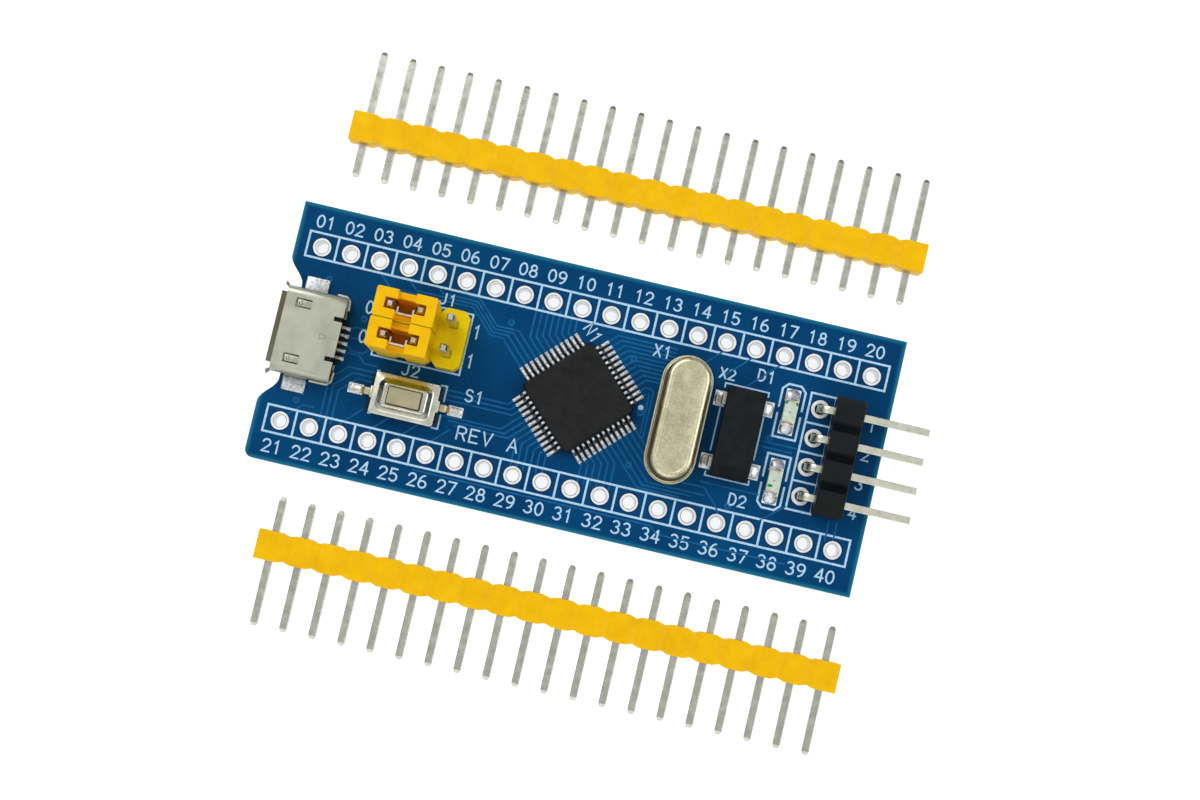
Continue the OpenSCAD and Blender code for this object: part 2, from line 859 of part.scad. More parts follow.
pcb();
hole_rings();
surface_pads();
solder_joints();
usb_shell();
usb_insulator();
usb_contacts();
boot_header_base();
boot_header_pins();
jumper_a_cap();
jumper_a_clip();
jumper_b_cap();
jumper_b_clip();
reset_base();
reset_cover();
reset_leads();
reset_dome();
reset_plunger();
mcu_body();
mcu_leads();
crystal_can();
crystal_base();
crystal_leads();
crystal_blank();
clock_crystal_body();
clock_crystal_leads();
power_led_base();
power_led_lens();
power_led_ends();
user_led_base();
user_led_lens();
user_led_ends();
debug_header_body();
debug_header_pins();
regulator_body();
regulator_leads();
capacitor_bodies();
resistor_bodies();
chip_ends();
strip_a_bar();
strip_a_pins();
strip_b_bar();
strip_b_pins();
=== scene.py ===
import math
import random

import bmesh
import bpy
from mathutils import Matrix, Vector


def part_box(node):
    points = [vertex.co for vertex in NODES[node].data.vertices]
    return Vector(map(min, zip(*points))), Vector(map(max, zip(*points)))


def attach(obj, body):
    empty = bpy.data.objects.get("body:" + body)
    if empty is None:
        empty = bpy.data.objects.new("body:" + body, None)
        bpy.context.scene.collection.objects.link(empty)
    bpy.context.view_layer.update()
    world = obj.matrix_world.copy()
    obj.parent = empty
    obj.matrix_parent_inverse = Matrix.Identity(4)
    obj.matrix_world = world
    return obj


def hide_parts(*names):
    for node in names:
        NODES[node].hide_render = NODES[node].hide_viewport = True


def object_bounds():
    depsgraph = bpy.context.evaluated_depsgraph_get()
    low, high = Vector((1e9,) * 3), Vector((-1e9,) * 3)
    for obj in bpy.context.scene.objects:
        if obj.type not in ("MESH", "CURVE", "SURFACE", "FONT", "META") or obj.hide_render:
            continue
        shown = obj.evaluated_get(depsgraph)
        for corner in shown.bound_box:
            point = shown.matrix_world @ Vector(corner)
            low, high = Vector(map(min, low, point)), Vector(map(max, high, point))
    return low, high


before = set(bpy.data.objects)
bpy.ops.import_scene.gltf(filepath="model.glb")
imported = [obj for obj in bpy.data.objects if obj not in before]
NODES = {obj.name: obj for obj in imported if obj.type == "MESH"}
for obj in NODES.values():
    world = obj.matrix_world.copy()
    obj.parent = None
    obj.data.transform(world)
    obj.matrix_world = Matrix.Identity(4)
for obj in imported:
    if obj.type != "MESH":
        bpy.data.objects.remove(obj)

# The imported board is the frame. Lengths below are in millimetres until MM turns them into metres.
cad_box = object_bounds()
MM = 0.001
dice = random.Random(7)
MATERIALS = {}


def box_mm(node):
    """Lowest and highest corner of a CAD node, in millimetres."""
    low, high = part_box(node)
    return low / MM, high / MM


def middle_mm(node):
    low, high = box_mm(node)
    return (low + high) / 2


def put(obj):
    """Puts an object in the scene and gives it back."""
    bpy.context.scene.collection.objects.link(obj)
    return obj


# Driving places, all read from the frame.
BOARD_LOW, BOARD_HIGH = box_mm("pcb")
TOP = BOARD_HIGH.z
COPPER_TOP = box_mm("surface_pads")[1].z
PITCH = 2.54
ROW_PINS = 20
ROW_Y = 7.62
ROW_XS = [(i - (ROW_PINS - 1) / 2) * PITCH for i in range(ROW_PINS)]
RING_R = 0.78
HOLE_R = 0.5

MCU = middle_mm("mcu_body")
BUTTON = middle_mm("reset_base")
CLOCK = middle_mm("clock_crystal_body")
CRYSTAL = middle_mm("crystal_can")
POWER_LED = middle_mm("power_led_lens")
USER_LED = middle_mm("user_led_lens")
USB_LOW, USB_HIGH = box_mm("usb_insulator")
BASE_LOW, BASE_HIGH = box_mm("boot_header_base")
DEBUG_LOW, DEBUG_HIGH = box_mm("debug_header_body")
BOOT = (BASE_LOW + BASE_HIGH) / 2

MCU_LEADS = 12
MCU_LEAD_PITCH = 0.5
MCU_TIP = 4.5
CHIP_SIDES = ((1, 1), (-1, 1), (-1, -1), (1, -1))
ROW_EDGE = 6.95
SOLDER_Z = COPPER_TOP - 0.005
SOCKET_ROOF = COPPER_TOP + 2.5
TAB_X = -23.7
CONTACT_PITCH = 0.65


# ------------------------------------------------------------------ node trees

class Nodes:
    """Adds nodes to a node tree."""

    def __init__(self, tree):
        self.tree = tree

    def add(self, kind, **values):
        """New node with named input values; a value that is a socket is linked."""
        node = self.tree.nodes.new(kind)
        for name, value in values.items():
            self.set(node.inputs[name.replace("_", " ")], value)
        return node

    def set(self, socket, value):
        if isinstance(value, bpy.types.NodeSocket):
            self.tree.links.new(value, socket)
        else:
            socket.default_value = value

    def remap(self, value, low, high, to_low=0.0, to_high=1.0):
        node = self.add("ShaderNodeMapRange", Value=value, From_Min=low, From_Max=high,
                        To_Min=to_low, To_Max=to_high)
        return node.outputs["Result"]

    def math(self, operation, first, second=0.0):
        node = self.tree.nodes.new("ShaderNodeMath")
        node.operation = operation
        self.set(node.inputs[0], first)
        self.set(node.inputs[1], second)
        return node.outputs[0]


# ------------------------------------------------------------------ camera, light, floor

def add_camera():
    """Nearly straight above the board, turned about its own axis as the board lies in view."""
    at = Vector((1.77, -12.83, 196.6)) * MM
    aim = Vector((1.97, 0.33, 1.6)) * MM
    roll = math.radians(13.22)
    forward = (aim - at).normalized()
    level = forward.cross(Vector((0, 1, 0))).normalized()
    upright = level.cross(forward)
    right = level * math.cos(roll) + upright * math.sin(roll)
    up = upright * math.cos(roll) - level * math.sin(roll)
    data = bpy.data.cameras.new("camera")
    data.lens = 68.76
    data.sensor_width = 36
    data.clip_start = 0.002
    data.clip_end = 10
    camera = put(bpy.data.objects.new("camera", data))
    camera.matrix_world = Matrix.Translation(at) @ Matrix((right, up, -forward)).transposed().to_4x4()
    bpy.context.scene.camera = camera


WARM = (1.0, 0.99, 0.97)
COOL = (0.97, 0.99, 1.0)


def add_area_light(name, at, size, power, tint):
    """Square softbox at a place in millimetres, facing the middle of the board."""
    data = bpy.data.lights.new(name, "AREA")
    data.shape = "SQUARE"
    data.size = size * MM
    data.energy = power
    data.color = tint
    light = put(bpy.data.objects.new(name, data))
    light.location = Vector(at) * MM
    light.rotation_mode = "QUATERNION"
    light.rotation_quaternion = (-Vector(at)).to_track_quat("-Z", "Y")


def add_world():
    """Soft studio: bright overhead, dimmer towards the horizon, pale behind the object."""
    world = bpy.data.worlds.new("studio")
    world.use_nodes = True
    bpy.context.scene.world = world
    nodes = Nodes(world.node_tree)
    place = nodes.add("ShaderNodeTexCoord").outputs["Generated"]
    height = nodes.add("ShaderNodeSeparateXYZ", Vector=place).outputs["Z"]
    light = nodes.remap(height, 0.25, 0.85, 0.1, 0.66)
    seen = nodes.add("ShaderNodeLightPath").outputs["Is Camera Ray"]
    strength = nodes.add("ShaderNodeMix", Factor=seen, A=light, B=0.9).outputs["Result"]
    background = world.node_tree.nodes["Background"]
    nodes.set(background.inputs["Strength"], strength)
    background.inputs["Color"].default_value = (*WARM, 1)


def add_floor():
    """Pale light table that the board and its pin strips lie on."""
    half = 1500
    z = cad_box[0].z / MM - 0.01
    corners = [(-half, -half, z), (half, -half, z), (half, half, z), (-half, half, z)]
    mesh = bpy.data.meshes.new("floor")
    mesh.from_pydata([Vector(c) * MM for c in corners], [], [(0, 1, 2, 3)])
    floor = put(bpy.data.objects.new("floor", mesh))
    sheet = bpy.data.materials.new("light_table")
    sheet.use_nodes = True
    values = {"Base Color": (0.4, 0.4, 0.4, 1), "Roughness": 0.9, "Specular IOR Level": 0.1,
              "Emission Color": (1, 1, 1, 1), "Emission Strength": 0.84}
    for name, value in values.items():
        sheet.node_tree.nodes["Principled BSDF"].inputs[name].default_value = value
    floor.data.materials.append(sheet)


def add_studio():
    bpy.context.scene.view_settings.view_transform = "Standard"
    add_camera()
    add_world()
    add_area_light("key", (-190, 210, 300), 280, 0.75, WARM)
    add_area_light("side", (300, 60, 260), 260, 0.5, COOL)
    add_area_light("front", (-40, -330, 250), 420, 0.55, WARM)
    add_floor()


# ------------------------------------------------------------------ materials

def rgb(tone):
    """Tone given as 0 to 255 screen values, as a linear RGBA colour."""
    def linear(value):
        share = value / 255
        return share / 12.92 if share <= 0.04045 else ((share + 0.055) / 1.055) ** 2.4
    return (*[linear(value) for value in tone], 1)


# how far each kind of grain is drawn out along X, Y and Z
ALONG_X = (14, 1, 1)
EVEN = (1, 1, 1)
FLOW = (1, 1, 1.6)


class Finish(Nodes):
    """A Principled material, with helpers that add the nodes in front of it."""

    def __init__(self, name, metallic=0.0, roughness=0.5, specular=0.5, coat=0.0):
        self.material = bpy.data.materials.new(name)
        self.material.use_nodes = True
        super().__init__(self.material.node_tree)
        self.shader = self.tree.nodes["Principled BSDF"]
        self.fix(Metallic=metallic, Roughness=roughness, Specular_IOR_Level=specular,
                 Coat_Weight=coat, Coat_Roughness=0.08)
        self.place = self.tree.nodes.new("ShaderNodeTexCoord").outputs["Object"]

    def fix(self, **values):
        """Sets the shader's own values, the same all over the surface."""
        for name, value in values.items():
            self.shader.inputs[name.replace("_", " ")].default_value = value

    def tone(self, value):
        """A colour socket as it is, or a 0 to 255 triple as a colour."""
        return value if isinstance(value, bpy.types.NodeSocket) else rgb(value)

    def noise(self, size, stretch=(1, 1, 1), detail=3.0, roughness=0.55):
        """Noise from 0 to 1 whose features are about size millimetres across."""
        scale = [1 / (size * MM * s) for s in stretch]
        spread = self.add("ShaderNodeMapping", Vector=self.place, Scale=scale)
        node = self.add("ShaderNodeTexNoise", Vector=spread.outputs[0], Scale=1.0, Detail=detail,
                        Roughness=roughness)
        return node.outputs["Fac"]

    def mix(self, factor, first, second):
        """Mix of two tones."""
        node = self.tree.nodes.new("ShaderNodeMix")
        node.data_type = "RGBA"
        self.set(node.inputs[0], factor)
        self.set(node.inputs[6], self.tone(first))
        self.set(node.inputs[7], self.tone(second))
        return node.outputs[2]

    def blend(self, value, dark, light, low=0.3, high=0.7):
        """Colour that follows a noise, from dark to light."""
        return self.mix(self.remap(value, low, high), dark, light)

    def stain(self, base, value, colour, low, high, most):
        """Adds a colour where a noise is high, up to a share of the whole."""
        return self.mix(self.remap(value, low, high, 0.0, most), base, colour)

    def axis(self, name):
        """One coordinate of the surface point, in metres."""
        return self.add("ShaderNodeSeparateXYZ", Vector=self.place).outputs[name]

    def upright(self, low, high, to_low=0.0, to_high=1.0):
        """Follows how far the surface faces straight up or down, from 0 on a wall to 1."""
        normal = self.tree.nodes.new("ShaderNodeTexCoord").outputs["Normal"]
        rise = self.add("ShaderNodeSeparateXYZ", Vector=normal).outputs["Z"]
        return self.remap(self.math("ABSOLUTE", rise), low, high, to_low, to_high)

    def colour(self, value):
        self.set(self.shader.inputs["Base Color"], value)

    def rough(self, value, low, high):
        """Roughness that follows a noise, from low to high."""
        self.set(self.shader.inputs["Roughness"], self.remap(value, 0.3, 0.7, low, high))

    def bump(self, *layers):
        """Stacked bumps, each a height from 0 to 1 and its depth in millimetres."""
        normal = None
        for height, depth in layers:
            node = self.add("ShaderNodeBump", Height=height, Strength=1.0, Distance=depth * MM)
            if normal is not None:
                self.tree.links.new(normal, node.inputs["Normal"])
            normal = node.outputs["Normal"]
        self.tree.links.new(normal, self.shader.inputs["Normal"])


def metal(name, dark, light, grain, stretch, roughness, dent=0.0006, blotch=0.9, mirror=1.0):
    """Plated metal: blotchy tone, drawn or rolled grain, fine pits."""
    finish = Finish(name, metallic=mirror)
    tone = finish.noise(blotch, detail=4)
    lines = finish.noise(grain, stretch, detail=5, roughness=0.7)
    pits = finish.noise(grain * 0.7, detail=2)
    base = finish.blend(tone, dark, light)
    finish.colour(finish.stain(base, lines, dark, 0.35, 0.75, 0.45))
    finish.rough(tone, *roughness)
    finish.bump((lines, dent), (pits, dent * 0.6))
    return finish.material


def bent_leads():
    """Tinned leads: bright flat faces, painted shade on the sheared sides and the bends."""
    finish = Finish("chip_leads", metallic=1.0)
    tone = finish.noise(0.3, detail=4)
    pits = finish.noise(0.07, detail=3)
    bright = finish.blend(tone, (206, 210, 212), (250, 252, 252))
    # painted shade: faces that do not face up are darkened towards dark grey
    finish.colour(finish.mix(finish.upright(0.8, 0.97), (66, 68, 72), bright))
    finish.rough(tone, 0.2, 0.36)
    finish.bump((pits, 0.001))
    return finish.material


def socket_steel():
    """Rolled nickel-plated steel, with painted shade on the flared lip at the socket's mouth."""
    finish = Finish("shell_steel", metallic=1.0)
    tone = finish.noise(1.6, detail=4)
    lines = finish.noise(0.06, ALONG_X, detail=5, roughness=0.7)
    pits = finish.noise(0.05, detail=2)
    plate = finish.blend(tone, (172, 175, 160), (192, 195, 180))
    plate = finish.stain(plate, lines, (160, 163, 148), 0.35, 0.75, 0.4)
    # painted shade: the band of the flared lip at the mouth is darkened to grey
    mouth = (box_mm("usb_shell")[0].x + 0.4) * MM
    lip_shade = finish.remap(finish.axis("X"), mouth, mouth + 0.06 * MM, 1.0, 0.0)
    finish.colour(finish.mix(lip_shade, plate, (124, 127, 120)))
    finish.rough(tone, 0.36, 0.5)
    finish.bump((lines, 0.0009), (pits, 0.0006))
    return finish.material


def drawn_steel():
    """Deep-drawn nickel silver: grained crown, painted brown shade on the steep walls and bends."""
    finish = Finish("can_metal", metallic=1.0)
    tone = finish.noise(1.2, detail=4)
    grain = finish.noise(0.17, detail=5, roughness=0.75)
    base = finish.blend(tone, (208, 205, 172), (224, 221, 190))
    base = finish.stain(base, grain, (156, 149, 114), 0.42, 0.66, 0.6)
    # painted shade: steep faces are darkened to brown, less so near the foot
    steep_shade = finish.upright(0.25, 0.8, 1.0, 0.0)
    foot = box_mm("crystal_can")[0].z + 0.3
    above = finish.remap(finish.axis("Z"), foot * MM, (foot + 0.1) * MM, 0.35, 1.0)
    finish.colour(finish.mix(finish.math("MULTIPLY", steep_shade, above), base, (112, 96, 60)))
    finish.rough(tone, 0.26, 0.42)
    finish.bump((grain, 0.005))
    return finish.material


def moulded(name, dark, light, roughness, grain=0.05, dent=0.0008, specular=0.2, flow=2.0,
            streak=None):
    """Moulded plastic: slow colour drift, slight flow streaks, spark-eroded skin."""
    finish = Finish(name, specular=specular)
    drift = finish.noise(flow, FLOW, detail=3)
    skin = finish.noise(grain, detail=4, roughness=0.7)
    sink = finish.noise(0.7, detail=1)
    base = finish.blend(drift, dark, light)
    finish.colour(finish.stain(base, skin, streak or dark, 0.55, 0.8, 0.25))
    finish.rough(skin, *roughness)
    finish.bump((skin, dent), (sink, dent * 5))
    return finish


def solder_mask():
    """Glossy blue mask on both faces, bare glass-fibre laminate on the routed edges."""
    finish = Finish("board_mask", specular=0.05)
    pour = finish.noise(5.5, detail=2, roughness=0.4)
    weave = finish.noise(0.35, detail=3)
    deep = finish.blend(pour, (0, 58, 104), (0, 70, 117), 0.35, 0.65)
    face = finish.stain(deep, weave, (0, 50, 92), 0.3, 0.8, 0.35)
    # painted highlight of the rounded routed edge: lighter teal towards it, also where the thinning
    # mask lets the laminate show through
    gap_x = finish.math("SUBTRACT", BOARD_HIGH.x * MM, finish.math("ABSOLUTE", finish.axis("X")))
    gap_y = finish.math("SUBTRACT", BOARD_HIGH.y * MM, finish.math("ABSOLUTE", finish.axis("Y")))
    gap = finish.math("MINIMUM", gap_x, gap_y)
    rim = finish.remap(gap, 0.08 * MM, 0.42 * MM, 0.75, 0.0)
    face = finish.mix(rim, face, (30, 118, 146))
    # laminate: glass layers seen end-on
    layer = finish.noise(0.14, (30, 30, 1), detail=2)
    chips = finish.noise(0.12, detail=4)
    edge = finish.blend(layer, (96, 128, 92), (150, 168, 120), 0.35, 0.65)
    edge = finish.stain(edge, chips, (60, 100, 96), 0.45, 0.75, 0.5)
    flat = finish.upright(0.55, 0.75)
    finish.colour(finish.mix(flat, edge, face))
    dust = finish.noise(0.5, detail=5)
    gloss = finish.remap(dust, 0.3, 0.7, 0.24, 0.36)
    finish.set(finish.shader.inputs["Roughness"], finish.remap(flat, 0.0, 1.0, 0.75, gloss))
    ripple = finish.noise(1.2, detail=2)
    finish.bump((weave, 0.0012), (ripple, 0.006), (chips, 0.001))
    return finish.material


def mask_tone(name, dark, light, specular, size, grain, roughness):
    """Solder mask on a raised track or on the step round a ring."""
    finish = Finish(name, specular=specular)
    pour = finish.noise(size, detail=3)
    finish.colour(finish.blend(pour, dark, light))
    finish.rough(pour, *roughness)
    finish.bump((finish.noise(grain, detail=3), 0.001))
    return finish.material


def ink(name, dark, light):
    """Screen-printed ink: slightly uneven cover, dull and faintly grainy."""
    finish = Finish(name, specular=0.3)
    cover = finish.noise(0.16, detail=4, roughness=0.65)
    patch = finish.noise(1.5, detail=2)
    base = finish.blend(cover, dark, light)
    finish.colour(finish.stain(base, patch, dark, 0.4, 0.8, 0.3))
    finish.rough(cover, 0.55, 0.8)
    finish.bump((cover, 0.002))
    return finish.material


def epoxy(name, dark, light):
    """Chip moulding compound: near black with a fine sandy mottle."""
    finish = Finish(name, specular=0.12)
    sand = finish.noise(0.06, detail=5, roughness=0.75)
    cloud = finish.noise(0.9, detail=3)
    base = finish.blend(cloud, dark, light)
    finish.colour(finish.stain(base, sand, (58, 58, 57), 0.5, 0.8, 0.6))
    finish.rough(sand, 0.5, 0.72)
    finish.bump((sand, 0.004), (cloud, 0.003))
    return finish.material


def wet_solder():
    """Reflowed solder: bright crests, dull frosted patches."""
    finish = Finish("solder", metallic=1.0)
    frost = finish.noise(0.22, detail=5, roughness=0.7)
    crest = finish.noise(0.5, detail=2)
    finish.colour(finish.blend(frost, (162, 167, 174), (238, 241, 244), 0.35, 0.65))
    finish.rough(frost, 0.26, 0.5)
    finish.bump((crest, 0.02), (frost, 0.006))
    return finish.material


def yellow_nylon(name, hollow=None, dark=(230, 178, 0), light=(240, 192, 0)):
    """Moulded yellow nylon. A hollow node gets a painted orange glow inside, an emission that stands
    in for light coming through its walls.
    """
    finish = moulded(name, dark, light, (0.34, 0.52), dent=0.0012, specular=0.1, flow=1.3,
                     streak=(220, 162, 0))
    finish.fix(Subsurface_Weight=0.3, Subsurface_Radius=(1.0, 0.5, 0.04), Subsurface_Scale=0.5 * MM)
    if hollow:
        wall = 0.3
        low, high = box_mm(hollow)
        middle = (low + high) / 2
        # painted glow: emission inside the walls of the hollow node, fading out below its top
        painted_glow = finish.remap(finish.axis("Z"), (high.z - 0.3) * MM, (high.z - 0.05) * MM, 1.0, 0.0)
        for axis, centre, top in (("X", middle.x, high.x), ("Y", middle.y, high.y)):
            off = finish.math("ABSOLUTE", finish.math("SUBTRACT", finish.axis(axis), centre * MM))
            reach = (top - centre - wall) * MM
            clear = finish.remap(off, reach - 0.05 * MM, reach + 0.05 * MM, 1.0, 0.0)
            painted_glow = finish.math("MULTIPLY", painted_glow, clear)
        finish.fix(Emission_Color=rgb((214, 108, 6)))
        finish.set(finish.shader.inputs["Emission Strength"], finish.math("MULTIPLY", painted_glow, 0.24))
    return finish.material


def resin():
    """Milky clear LED resin."""
    finish = Finish("led_resin", specular=0.5, coat=0.3)
    cloud = finish.noise(0.5, detail=3)
    fleck = finish.noise(0.08, detail=3)
    base = finish.blend(cloud, (180, 198, 182), (206, 220, 204))
    finish.colour(finish.stain(base, fleck, (206, 204, 160), 0.6, 0.8, 0.3))
    finish.fix(Subsurface_Weight=0.25, Subsurface_Radius=(1, 0.95, 0.8), Subsurface_Scale=0.2 * MM)
    finish.rough(cloud, 0.18, 0.32)
    finish.bump((cloud, 0.008))
    return finish.material


def quartz():
    """Lapped quartz strip."""
    finish = Finish("quartz_blank", specular=0.5)
    lap = finish.noise(0.05, detail=4)
    finish.colour(finish.blend(lap, (205, 214, 220), (236, 242, 246)))
    finish.fix(Transmission_Weight=0.6)
    finish.rough(lap, 0.2, 0.45)
    finish.bump((lap, 0.001))
    return finish.material


# dark tone, light tone, grain size, grain direction, roughness, dent depth, blotch size, metallic
METALS = {
    "tinned_copper": ((222, 228, 230), (246, 250, 252), 0.12, EVEN, (0.3, 0.46), 0.0015, 0.5, 0.5),
    "cover_steel": ((194, 195, 182), (222, 223, 211), 0.05, ALONG_X, (0.2, 0.32), 0.0003, 1.1),
    "plated_contacts": ((190, 180, 142), (230, 224, 196), 0.05, ALONG_X, (0.2, 0.36), 0.0006, 0.5),
    "pin_metal": ((184, 185, 175), (210, 211, 202), 0.06, EVEN, (0.2, 0.32), 0.0007, 0.7),
    "bright_pins": ((216, 217, 200), (238, 239, 224), 0.06, ALONG_X, (0.2, 0.32), 0.0007, 0.7),
    "clip_metal": ((208, 204, 192), (242, 240, 232), 0.05, ALONG_X, (0.16, 0.3), 0.0006, 0.5),
    "tinned_leads": ((182, 184, 184), (240, 240, 238), 0.08, EVEN, (0.18, 0.38), 0.003, 0.3),
    "gold_leads": ((196, 180, 138), (236, 226, 196), 0.05, ALONG_X, (0.2, 0.36), 0.0006, 0.5),
    # dark plating: the socket's seam line, and the painted shade on the holes' inner edges
    "seam_and_hole_shade_metal": ((70, 76, 82), (110, 116, 120), 0.05, EVEN, (0.35, 0.55), 0.001, 0.3),
}
# dark tone, light tone, roughness, grain size, dent depth, specular level, size of the colour drift
PLASTICS = {
    "black_plastic": ((3, 8, 10), (12, 19, 21), (0.28, 0.5)),
    "beige_plastic": ((160, 155, 124), (178, 173, 142), (0.4, 0.6), 0.06, 0.0016),
    "led_substrate": ((206, 202, 180), (230, 228, 212), (0.45, 0.65), 0.06, 0.001),
    "tan_ceramic": ((142, 104, 66), (178, 138, 94), (0.45, 0.7), 0.08, 0.002, 0.2, 0.7),
    "dark_ceramic": ((18, 18, 20), (34, 34, 38), (0.2, 0.4), 0.05, 0.001),
}
# the base is a little more lemon than the strips; the hollow caps have a painted orange glow inside
NYLONS = {
    "yellow_plastic": {},
    "base_nylon": {"dark": (220, 190, 0), "light": (232, 204, 0)},
    "cap_a_painted_glow_nylon": {"hollow": "jumper_a_cap"},
    "cap_b_painted_glow_nylon": {"hollow": "jumper_b_cap"},
}


def make_materials():
    """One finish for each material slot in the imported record, and a few for added pieces."""
    made = {
        "solder_mask": solder_mask(),
        "solder": wet_solder(),
        "shell_steel": socket_steel(),
        "can_metal": drawn_steel(),
        "chip_epoxy": epoxy("chip_epoxy", (20, 21, 23), (33, 34, 35)),
        "clock_epoxy": epoxy("clock_epoxy", (8, 14, 18), (22, 29, 32)),
        "led_resin": resin(),
        "quartz": quartz(),
        "print_ink": ink("print_ink", (138, 184, 220), (200, 226, 244)),
        "green_ink": ink("green_ink", (0, 110, 62), (20, 150, 84)),
        "laminate_and_gap_shade": ink("laminate_and_gap_shade", (6, 18, 26), (16, 34, 44)),
        "track_mask": mask_tone("track_mask", (3, 80, 133), (17, 97, 151), 0.12, 0.8, 0.12,
                                (0.25, 0.4)),
        "mask_step_shade": mask_tone("mask_step", (0, 34, 74), (0, 48, 98), 0.15, 0.4, 0.1, (0.3, 0.5)),
        "chip_leads": bent_leads(),
    }
    for name, values in METALS.items():
        made[name] = metal(name, *values)
    for name, values in PLASTICS.items():
        made[name] = moulded(name, *values).material
    for name, values in NYLONS.items():
        made[name] = yellow_nylon(name, **values)
    return made


# bevel width in millimetres for each CAD node whose own shape is shown
BEVEL_GROUPS = {
    0.03: "jumper_a_clip jumper_b_clip mcu_leads power_led_base user_led_base",
    0.04: "reset_leads clock_crystal_leads resistor_bodies",
    0.05: "pcb usb_shell usb_insulator boot_header_pins mcu_body power_led_ends user_led_ends "
          "regulator_body chip_ends crystal_base",
    0.06: "power_led_lens user_led_lens debug_header_pins strip_a_pins strip_b_pins "
          "capacitor_bodies",
    0.07: "jumper_a_cap jumper_b_cap reset_plunger",
    0.08: "boot_header_base reset_base debug_header_body",
    0.1: "clock_crystal_body strip_a_bar strip_b_bar",
}
BEVELS = {name: width for width, names in BEVEL_GROUPS.items() for name in names.split()}


# nodes whose finish differs a little from their slot's
OWN_FINISH = {
    "mcu_leads": "chip_leads", "debug_header_pins": "bright_pins", "reset_leads": "gold_leads",
    "jumper_a_cap": "cap_a_painted_glow_nylon", "jumper_b_cap": "cap_b_painted_glow_nylon",
    "boot_header_base": "base_nylon", "usb_contacts": "chip_leads",
    "clock_crystal_body": "clock_epoxy",
}


def dress_nodes():
    """Gives every CAD node its slot's finish and rounds its moulded or sheared edges."""
    for name, node in NODES.items():
        slot = node.data.materials[0].name.split(".")[0]
        node.data.materials[0] = MATERIALS[OWN_FINISH.get(name, slot)]
        if name in BEVELS:
            round_edges(node, BEVELS[name])


def round_edges(obj, width, segments=2, angle=32):
    weld = obj.modifiers.new("weld", "WELD")
    weld.merge_threshold = 0.0005 * MM
    bevel = obj.modifiers.new("round", "BEVEL")
    bevel.width = width * MM
    bevel.segments = segments
    bevel.limit_method = "ANGLE"
    bevel.angle_limit = math.radians(angle)
    bevel.harden_normals = True


# ------------------------------------------------------------------ mesh helpers

def add_piece(name, mesh_data, finish, slot=None, body="board", smooth_angle=35):
    """New object from a bmesh in millimetres, riding on a CAD body, in a named finish."""
    mesh = bpy.data.meshes.new(name)
    bmesh.ops.recalc_face_normals(mesh_data, faces=mesh_data.faces)
    bmesh.ops.scale(mesh_data, vec=(MM, MM, MM), verts=mesh_data.verts)
    mesh_data.to_mesh(mesh)
    mesh_data.free()
    mesh.materials.append(MATERIALS[finish])
    mesh.polygons.foreach_set("use_smooth", [True] * len(mesh.polygons))
    mesh.set_sharp_from_angle(angle=math.radians(smooth_angle))
    piece = put(bpy.data.objects.new(name, mesh))
    slot = slot or finish
    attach(piece, body)
    return piece


def skin(bm, rings, wrap=False):
    """Skins equal rings of points. A wrapped skin joins its last ring to its first, as a torus
    does; any other is closed by its two end rings."""
    made = [[bm.verts.new(p) for p in ring] for ring in rings]
    count = len(made[0])
    for near, far in zip(made, made[1:] + made[:1] if wrap else made[1:]):
        for i in range(count):
            j = (i + 1) % count
            bm.faces.new((near[i], near[j], far[j], far[i]))
    if not wrap:
        bm.faces.new(list(reversed(made[0])))
        bm.faces.new(made[-1])


def leftward(step):
    """Unit vector to the left of a step."""
    step = step.normalized()
    return Vector((-step.y, step.x))


def turned(x, y, dx, dy, spin):
    """The point at an offset from (x, y), once the offset is turned by an angle."""
    return (x + dx * math.cos(spin) - dy * math.sin(spin),
            y + dx * math.sin(spin) + dy * math.cos(spin))


def edge_pairs(points, half, closed):
    """Left and right edge of a line of some width, mitred at its corners."""
    pairs = []
    last = len(points) - 1
    for i, point in enumerate(points):
        normals = []
        if i > 0 or closed:
            normals.append(leftward(point - points[i - 1]))
        if i < last or closed:
            normals.append(leftward(points[(i + 1) % len(points)] - point))
        mitre = sum(normals, Vector((0, 0))).normalized()
        reach = half / max(mitre.dot(normals[0]), 0.5)
        pairs.append((point + mitre * reach, point - mitre * reach))
    return pairs


def round_end(point, step, half):
    """Narrowing edge pairs that finish a line with a round end."""
    normal = Vector((-step.y, step.x))
    pairs = []
    for degrees in (30, 60, 82):
        turn = math.radians(degrees)
        centre = point + step * half * math.sin(turn)
        pairs.append((centre + normal * half * math.cos(turn),
                      centre - normal * half * math.cos(turn)))
    return pairs


def add_line(bm, points, width, z0, z1, closed=False):
    """Thin solid line through 2D points, between two heights, with round ends."""
    points = [Vector(p) for p in points]
    half = width / 2
    pairs = edge_pairs(points, half, closed)
    if not closed:
        end = round_end(points[-1], (points[-1] - points[-2]).normalized(), half)
        start = round_end(points[0], (points[0] - points[1]).normalized(), half)
        start = [(right, left) for left, right in reversed(start)]
        pairs = start + pairs + end
    rings = []
    for left, right in pairs:
        rings.append([(left.x, left.y, z0), (right.x, right.y, z0),
                      (right.x, right.y, z1), (left.x, left.y, z1)])
    skin(bm, rings, wrap=closed)


def rectangle(x0, y0, x1, y1):
    return [(x0, y0), (x1, y0), (x1, y1), (x0, y1)]


def arc(cx, cy, rx, ry, start, end, steps=10):
    """Points of an elliptical arc, angles in degrees."""
    points = []
    for k in range(steps + 1):
        turn = math.radians(start + (end - start) * k / steps)
        points.append((cx + rx * math.cos(turn), cy + ry * math.sin(turn)))
    return points


